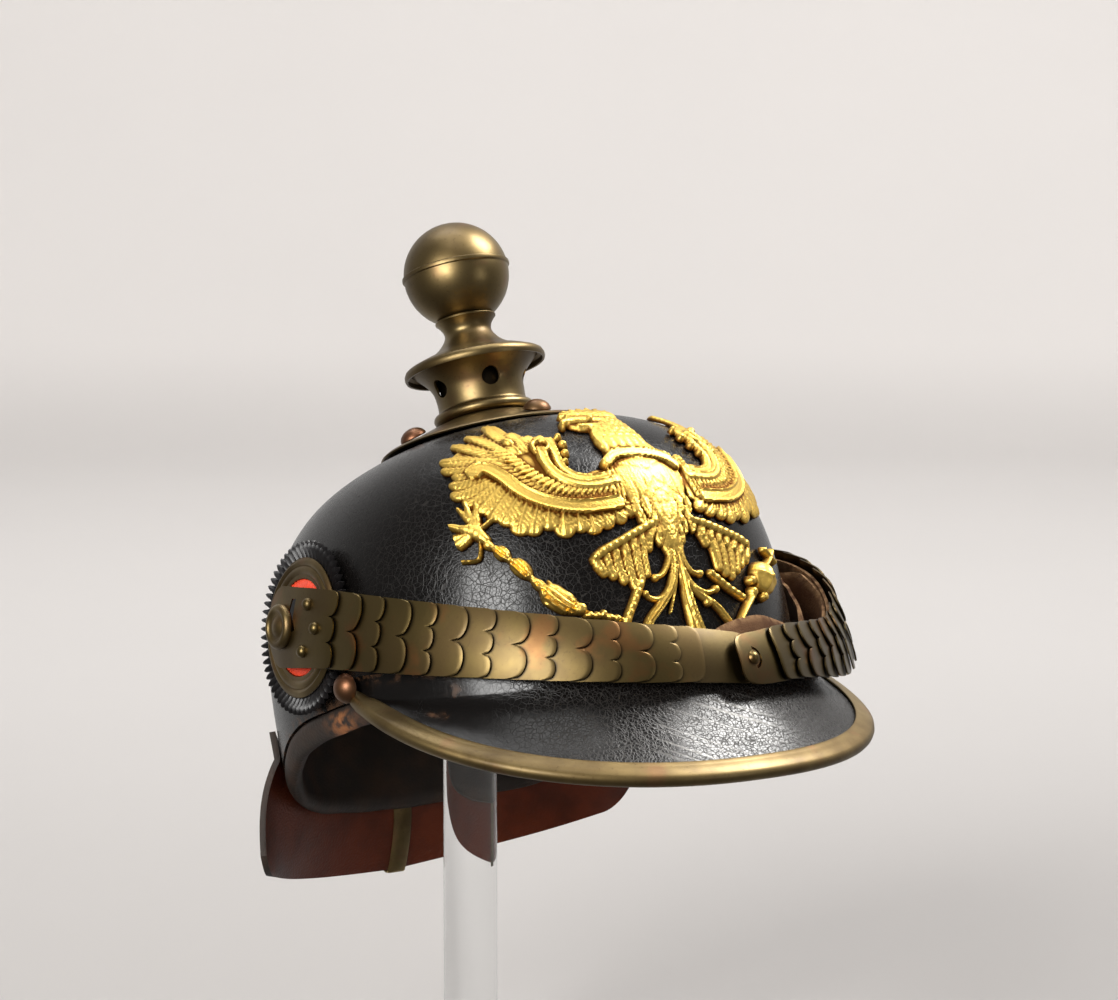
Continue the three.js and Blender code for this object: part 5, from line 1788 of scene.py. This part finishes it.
# Outline of a thigh, its ribbed upper edge and its feathers.
THIGH = [
    (8.1, 42.1), (11, 40.2), (15.4, 37.2), (19.4, 35), (21.7, 32.5), (22.3, 28.9), (21.3, 26.9),
    (19.2, 23.5), (16.7, 21.9), (13.6, 17.5), (11.7, 18.5), (10.2, 20), (9.2, 23.4), (9.6, 27.3),
    (9.4, 31.2), (7.3, 35.2), (4, 38), (4, 42),
]
THIGH_RIBS = [(5, 41.8), (7.1, 40.5), (11.4, 37.9), (15.6, 35.2), (19.7, 32.3), (21.5, 30.4)]
THIGH_FEATHERS = [
    [(20.8, 31), (20.6, 27.5), (19.4, 22.8)], [(18.6, 33), (18.8, 27), (17.4, 21.2)],
    [(16, 35), (16.8, 27.5), (15.4, 18.8)], [(13.2, 36.8), (14.4, 28), (13.5, 16.6)],
    [(10.6, 38.4), (12, 29.5), (11.6, 18)], [(8.2, 39.8), (9.8, 31), (9.9, 20.4)],
    [(6, 41), (7.4, 35.5), (8.2, 30)],
]


def leg(relief, sign):
    """Feathered thigh with a ribbed upper edge."""
    relief.fill(mirrored(THIGH, sign), 1.1)
    for line in THIGH_FEATHERS:
        relief.stroke(mirrored(line, sign), (3.4, 4.6, 3.4), 1.5, 0.4, barbs)
    edge = mirrored(THIGH_RIBS, sign)
    relief.row(edge, 8, ((0.3 * sign, -6), (-2.6 * sign, -5.4)), 3.6, 2.1)
    relief.stroke(edge, (2.6, 3.2, 3), 2.6, 0.7, ribs)


# Belly, tail straps, scrolls and shanks: line, widths, level, crown, marks.
TAIL = [
    ([(-1, 46), (-1.6, 38), (-1.8, 30)], (16, 10, 6), 1.6, 1.4, down),
    ([(-1, 31), (-1.2, 20.6), (-0.8, 8), (0.2, -5)], (3.6, 3.8, 5.4, 7.6), 1.7, 0.7, ridges),
    ([(-2.1, 30.5), (-3.1, 22.4), (-5, 15.7), (-8.1, 10.1), (-11.7, 4.5), (-13.6, -1)],
     (3.2, 3.6, 4, 4), 1.5, 0.9, ridges),
    ([(-2.1, 24), (-3.6, 16.3), (-5.2, 10.4), (-6.3, 6)], (2, 1.8, 1.2), 1.4, 0.7),
    ([(-2.7, 30), (-4.3, 24.9), (-6.5, 21), (-8.8, 20.2)], (2.7, 2.6, 2.4), 1.4, 0.8),
    ([(-3.6, 20.1), (-5.6, 15), (-8.6, 12.1), (-10.8, 13.3), (-11.6, 15.6)], (2.8, 2.7, 2.2), 1.3, 0.8),
    ([(0, 30.6), (0.4, 25.1), (1.9, 21), (4.2, 20.1)], (2.7, 2.6, 2.4), 1.4, 0.8),
    ([(-0.4, 22), (1.1, 16.4), (4.3, 12.9), (7.8, 13.6)], (2.8, 2.7, 2.4), 1.3, 0.8),
    ([(-0.1, 17.3), (2.4, 12.4), (6.5, 7.6), (10.8, -2)], (3, 3.2, 3.2), 1.4, 0.8, ridges),
    ([(-12.3, 18.4), (-14.3, 12.9), (-16.5, 7), (-18.4, 0)], (4, 3.8, 4), 1.5, 1.1, ribs),
    ([(7, 20), (11.2, 14.2), (16, 9.4)], (3.6, 3.4, 3.4), 1.5, 1.1, ribs),
    ([(18.6, 10.4), (14.9, 4.8), (12, -0.2)], (3.2, 3, 2.6), 2, 1.2),
    ([(-25.6, 10), (-21.4, 8.5), (-17, 5.8)], (2.4, 2.4, 2.4), 1.3, 0.8),
]
# Sceptre and the bird on its end: line, widths, level, crown, marks.
SCEPTRE = [
    ([(-43.4, 46.4), (-39.4, 37.9), (-36.1, 30.4), (-32.1, 21.6), (-25, 10.6)], (3, 2.8, 3.2), 1.5, 0.9),
    ([(-40.8, 41.2), (-38.2, 35.9)], (3.4, 6.4, 3.6), 1.8, 1.6, veins),
    ([(-37.9, 35), (-36.3, 31.5), (-34.8, 27)], (3.4, 7, 6.4, 3.2), 1.8, 1.7, veins),
    ([(-34.5, 26.4), (-32.1, 21.2)], (3, 4.6, 4.2), 1.8, 1.0, veins),
    ([(-33.2, 23), (-30.1, 17.4), (-26, 11.4)], (3.4, 9.6, 9.2, 5), 1.9, 1.9, veins),
    ([(-29.8, 19), (-31.9, 25.8)], (4, 1.4), 2, 0.9),
    ([(-42.7, 45.7), (-44.9, 50), (-48, 52.6)], (4.6, 6.6, 4.4), 1.8, 1.6, down),
    ([(-47.4, 52), (-49.7, 54), (-51.6, 53.6)], (4.2, 3.4, 1.2), 2, 1.2),
    ([(-44.2, 50.6), (-46, 56.5), (-48, 61.6)], (3.6, 4, 2.2), 1.5, 0.9, barbs),
    ([(-44.1, 50.6), (-45.2, 57), (-45.9, 63)], (3.6, 4, 2.2), 1.6, 0.9, barbs),
    ([(-43.9, 50.6), (-43.9, 56), (-43.3, 60.9)], (3.6, 4, 2.2), 1.5, 0.9, barbs),
    ([(-45.6, 49.4), (-49.4, 49), (-53, 47.2)], (3.6, 4, 2.2), 1.5, 0.9, barbs),
    ([(-45.6, 49.2), (-49, 46.4), (-51.8, 43.6)], (3.6, 4, 2.2), 1.6, 0.9, barbs),
    ([(-45.4, 49), (-47, 46.6), (-48.4, 44.2)], (3.6, 4, 2.2), 1.5, 0.9, barbs),
    ([(-50.8, 40.4), (-47.8, 39.4), (-44.8, 38.8), (-44, 42), (-43.8, 45.6)], (1.9, 1.9, 1.9), 1.4, 0.8),
    ([(-43.4, 50.4), (-40.1, 53.8)], (2, 2.2), 1.4, 0.8),
]
# Round bosses: psi, s, radius, level, crown.
BOSSES = [
    (-8.2, 20.3, 1.7, 1.6, 1.0), (3.8, 20.2, 1.7, 1.6, 1.0), (7.4, 13.8, 1.8, 1.6, 1.0),
    (-11.4, 14.8, 1.5, 1.5, 0.9), (4.4, 9.1, 2, 1.5, 1), (-24.6, 10, 1.7, 1.5, 1.4),
    (-23.2, 9.4, 1.7, 1.6, 1.4), (-21.7, 9.7, 1.7, 1.6, 1.4), (-20.5, 7.9, 1.7, 1.6, 1.4),
    (-19, 7, 1.8, 1.6, 1.4), (-42.2, 43.2, 2.1, 1.7, 1.5), (-26.3, 12.8, 2.6, 2.2, 1.9),
    (-50.8, 40.3, 1.4, 1.5, 0.9),
]
# Rows of belly feathers: s, first and last place round the skull, feathers.
BREAST = (
    (50, -8.4, 5.8, 7), (46, -7.8, 4.6, 6), (42, -6.4, 3, 6), (38, -5, 1.4, 5), (34.5, -3.6, 0.2, 4),
)
RIBBON = [
    (-11.8, 68.4), (-9.3, 71.2), (-6.2, 72), (-2.4, 71.8), (1.4, 70.8), (4.6, 69), (7, 66.2), (8.4, 63),
]
# Outline of the head and the neck.
NECK = [
    (-14.2, 103), (-11, 106), (-6, 107), (-1, 106.6), (2.2, 104.5), (3.4, 101), (3.6, 95.7), (4.4, 90.8),
    (4.4, 85), (4.6, 79.8), (5, 75), (5, 71), (-7.5, 70), (-11.2, 69), (-10.8, 72.9), (-9, 78.8),
    (-7, 84.2), (-6.6, 87.8), (-9.2, 88.4), (-12.5, 90), (-14.8, 93), (-16, 96), (-14, 99),
]
# Neck, brow and the two halves of the beak: line, widths, level, crown, marks.
HEAD = [
    ([(-0.4, 98), (-2, 90), (-3.2, 82), (-3.6, 73)], (11, 14, 19, 22), 1.5, 1.5, down),
    ([(0.6, 98.6), (-5, 99.6), (-12.6, 101.4)], (9, 9.6, 6), 2.2, 1.4, down),
    ([(-3.4, 94.2), (-8.3, 96), (-13.2, 96.8), (-16.4, 95.2), (-17.2, 91.6)],
     (5, 5, 4.2, 3.4, 2), 2.3, 1.1),
    ([(-5.4, 91), (-9.6, 91.6), (-13, 92)], (4, 3.2, 1.8), 1.9, 0.8),
]
# Roots and tips of the crest.
CREST = (
    ((-11, 100.6), (-15.4, 103.6)), ((-9, 101.6), (-13.4, 106)), ((-6.8, 102), (-10, 107.4)),
    ((-4.6, 101.6), (-6.4, 107.8)), ((-2.4, 101), (-2.8, 107.4)), ((-0.4, 100), (0.6, 105.8)),
    ((1, 98.4), (3.2, 103)),
)


class HELMET_OT_helmet_plate(bpy.types.Operator):
    """Gilt eagle plate in pierced relief, its banner left bare and its breast feathered"""

    bl_idname = "helmet.helmet_plate"
    bl_label = "Helmet Plate"

    def execute(self, context):
        skull = Skull(context.scene.helmet_sizes)
        relief = Relief(skull)
        for sign in (-1, 1):
            wing(relief, sign)
            leg(relief, sign)
        for row in (*TAIL, *SCEPTRE):
            relief.stroke(*row)
        for row in BOSSES:
            relief.dot(*row)
        self.breast(relief)
        self.head(relief)
        self.orb(relief)
        points, faces, deep = relief.shell(0.5)
        obj = shell("eagle_plate", skull.world(points), faces, [finish("gilt")], {"recess_shade": deep}, sharp=60)
        fit(obj, "gilt_plate", "helmet_plate")
        return {"FINISHED"}

    def breast(self, relief):
        """Feathered breast and belly under a bare ribbon."""
        relief.stroke([(-2.4, 72), (-1.4, 57), (-1.4, 41)], (24, 32, 17), 1.6, 1.5, plumage)
        for level, (s, first, last, count) in zip(np.linspace(2.7, 1.8, len(BREAST)), BREAST):
            line = [(first, s), ((first + last) / 2, s), (last, s)]
            relief.row(line, count, ((0, -6.4), (0, -6.4)), 3.8, level)
        relief.stroke(RIBBON, (4.4, 4.8, 4.4), 3.3, 0.3, borders)

    def head(self, relief):
        """Neck and head in profile with a hooked beak and a tufted crest."""
        relief.fill(NECK, 1.4)
        for row in HEAD:
            relief.stroke(*row)
        relief.dot(-7.4, 95, 1.2, 3.6, 0.8)
        for root, tip in CREST:
            relief.stroke([root, tip], (4, 4, 2.6), 2.4, 0.8, barbs)

    def orb(self, relief):
        """Orb with crossed bands, its cross and the toes round it."""
        relief.dot(24, 17.2, 7.2, 1.0, 5, hoops)
        relief.stroke([(26.6, 22), (30.6, 26), (33.6, 30)], (2.8, 2.6, 3.2), 1.9, 1.3)
        relief.stroke([(28.6, 29.2), (30.9, 26.4), (33.4, 23.8)], (3, 2.2, 3), 1.9, 1.3)
        for psi, s in ((18.8, 12), (19.2, 16.4), (22.6, 10)):
            relief.dot(psi, s, 2.2, 2.2, 1.8)


class HELMET_OT_stand(bpy.types.Operator):
    """Clear rod in its round base"""

    bl_idname = "helmet.stand"
    bl_label = "Stand"

    def execute(self, context):
        sizes = context.scene.helmet_sizes
        rod = sizes.rod / MM
        base = sizes.base / MM
        low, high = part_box("stand_rod")
        foot = low[2] / MM
        centre = high[2] / MM - rod
        rise = np.radians(np.linspace(0, 90, 24))
        dome = np.stack([rod * np.cos(rise), centre + rod * np.sin(rise)], axis=1)
        dome[-1, 0] = 0
        edge = np.radians(np.linspace(0, 90, 8))
        rim = [(base - 2 + 2 * math.cos(t), 10 + 2 * math.sin(t)) for t in edge]
        socket = rod + 0.4
        for part, segments, outline in (
            ("rod", 96, [(0, foot), (rod - 0.6, foot), (rod, foot + 0.6), *dome]),
            ("base", 160, [
                (0, 0), (base - 0.6, 0), (base, 0.6), *rim, (socket, 12), (socket, 7), (0, 7),
            ]),
        ):
            points, faces = turned(outline, segments)
            obj = shell("clear_" + part, points * MM, faces, [finish("acrylic")])
            fit(obj, "clear_acrylic", "stand_" + part)
        return {"FINISHED"}


# Camera: place in metres, turn from the front, rise, and focal length in pixels of the picture's width.
CAMERA_PLACE = Vector((-0.7884, -1.1524, 0.3927))
CAMERA_TURN = math.radians(-35.88)
CAMERA_RISE = math.radians(5.88)
FOCUS_PIXELS = 3435
IMAGE_WIDTH = 1118
SENSOR = 36
# Lamps in watts, and the room's glow in front of the helmet and behind it.
KEY = 95
SIDE = 55
TOP = 9
FRONT = 2.2
ROOF = 6
BACKDROP = 116
ROOM_NEAR = 0.1
ROOM_FAR = 0.55


def aloft(middle, turn, rise, distance):
    """A place seen from the middle: degrees round from the front, degrees up, metres away."""
    a = math.radians(turn)
    e = math.radians(rise)
    return middle + Vector((math.sin(a) * math.cos(e), -math.cos(a) * math.cos(e), math.sin(e))) * distance


class HELMET_OT_stage(bpy.types.Operator):
    """Pale seamless floor, soft lights and the camera"""

    bl_idname = "helmet.stage"
    bl_label = "Stage"

    def execute(self, context):
        scene = context.scene
        curve = np.radians(np.linspace(-90, 0, 16))
        profile = [(0, 0), (1.5, 0), (3, 0)]
        profile += [(3 + 1.5 * math.cos(t), 1.5 + 1.5 * math.sin(t)) for t in curve]
        profile += [(4.5, 3.2)]
        outline = [*profile, *((r + 0.02, z - 0.02) for r, z in reversed(profile[1:])), (0, -0.02)]
        points, faces = turned(outline, 96)
        floor = shell("floor", points, faces, [finish("paper")], sharp=60)
        floor.visible_glossy = False
        back = Vector((math.sin(CAMERA_TURN), -math.cos(CAMERA_TURN), 0))
        middle = Vector((0, -0.05, 0.24))
        beside = Vector((math.cos(CAMERA_TURN), math.sin(CAMERA_TURN), 0))
        far_wall = -back * 4.4 + beside * 1.4 + Vector((0, 0, 1.5))
        # the key and the roof light the helmet alone, so that the paper keeps an even tone
        spared = bpy.data.collections.new("Spared by the key and the roof")
        spared.objects.link(floor)
        spared.collection_objects[0].light_linking.link_state = "EXCLUDE"
        # columns: name, place, aim, size, power, tint
        for name, place, aim, size, power, tint in (
            ("key", aloft(middle, 75, 52, 2.6), middle, 1.1, KEY, (1, 0.98, 0.95)),
            ("side", aloft(middle, -64, 20, 2.4), middle, 1.1, SIDE, (1, 0.99, 0.97)),
            ("top", aloft(middle, 170, 65, 2.2), middle, 1.0, TOP, (1, 1, 1)),
            ("front", aloft(middle, 21, 6, 2.4), middle, 0.5, FRONT, (1, 0.99, 0.97)),
            ("roof", aloft(middle, -60, 80, 2.0), middle, 0.9, ROOF, (1, 0.99, 0.97)),
            ("backdrop", -back + Vector((0, 0, 3.1)), far_wall, 2.6, BACKDROP, (1, 1, 1)),
        ):
            lamp = bpy.data.lights.new(name, "AREA")
            lamp.shape = "SQUARE"
            lamp.size = size
            lamp.energy = power
            lamp.color = tint
            light = bpy.data.objects.new(name, lamp)
            light.location = place
            if name in ("key", "roof"):
                light.light_linking.receiver_collection = spared
            light.rotation_euler = (place - aim).to_track_quat("Z", "Y").to_euler()
            scene.collection.objects.link(light)
        world = bpy.data.worlds.new("Studio")
        world.use_nodes = True
        tree = world.node_tree
        way = node(tree, "ShaderNodeTexCoord").outputs["Generated"]
        far = node(tree, "ShaderNodeVectorMath", {0: way, 1: -back}, operation="DOT_PRODUCT")
        glow = node(
            tree, "ShaderNodeMapRange",
            {"Value": far, "From Min": -0.2, "To Min": ROOM_NEAR, "To Max": ROOM_FAR},
            interpolation_type="SMOOTHSTEP",
        )
        feed(tree, tree.nodes["Background"], {"Color": (1, 0.98, 0.96, 1), "Strength": glow})
        scene.world = world
        lens = bpy.data.cameras.new("camera")
        lens.sensor_width = SENSOR
        lens.lens = SENSOR * FOCUS_PIXELS / IMAGE_WIDTH
        camera = bpy.data.objects.new("camera", lens)
        camera.location = CAMERA_PLACE
        away = back * math.cos(CAMERA_RISE) + Vector((0, 0, math.sin(CAMERA_RISE)))
        camera.rotation_euler = away.to_track_quat("Z", "Y").to_euler()
        scene.collection.objects.link(camera)
        scene.camera = camera
        scene.view_settings.view_transform = "Standard"
        return {"FINISHED"}


class HELMET_PT_panel(bpy.types.Panel):
    """Sizes, colours and pieces of the helmet"""

    bl_idname = "HELMET_PT_panel"
    bl_label = "Dress Helmet"
    bl_space_type = "VIEW_3D"
    bl_region_type = "UI"
    bl_category = "Helmet"

    def draw(self, context):
        layout = self.layout
        for group in (context.scene.helmet_sizes, context.scene.helmet_colours):
            for key in group.__annotations__:
                layout.prop(group, key)
        for operator in OPERATORS:
            layout.operator(operator.bl_idname)


OPERATORS = (
    HELMET_OT_stage,
    HELMET_OT_skull,
    HELMET_OT_sweatband,
    HELMET_OT_front_visor,
    HELMET_OT_rear_visor,
    HELMET_OT_top_fitting,
    HELMET_OT_cockades,
    HELMET_OT_chin_scales,
    HELMET_OT_helmet_plate,
    HELMET_OT_stand,
)
CLASSES = (HelmetSizes, HelmetColours, *OPERATORS, HELMET_PT_panel)


def register():
    """Adds the classes and the scene's settings."""
    for item in CLASSES:
        bpy.utils.register_class(item)
    bpy.types.Scene.helmet_sizes = PointerProperty(type=HelmetSizes)
    bpy.types.Scene.helmet_colours = PointerProperty(type=HelmetColours)


def unregister():
    """Takes them away again."""
    del bpy.types.Scene.helmet_colours
    del bpy.types.Scene.helmet_sizes
    for item in reversed(CLASSES):
        bpy.utils.unregister_class(item)


def main():
    """Builds every piece."""
    register()
    bpy.ops.helmet.stage()
    bpy.ops.helmet.skull()
    bpy.ops.helmet.sweatband()
    bpy.ops.helmet.front_visor()
    bpy.ops.helmet.rear_visor()
    bpy.ops.helmet.top_fitting()
    bpy.ops.helmet.cockades()
    bpy.ops.helmet.chin_scales()
    bpy.ops.helmet.helmet_plate()
    bpy.ops.helmet.stand()
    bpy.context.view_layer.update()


if __name__ == "__main__":
    main()
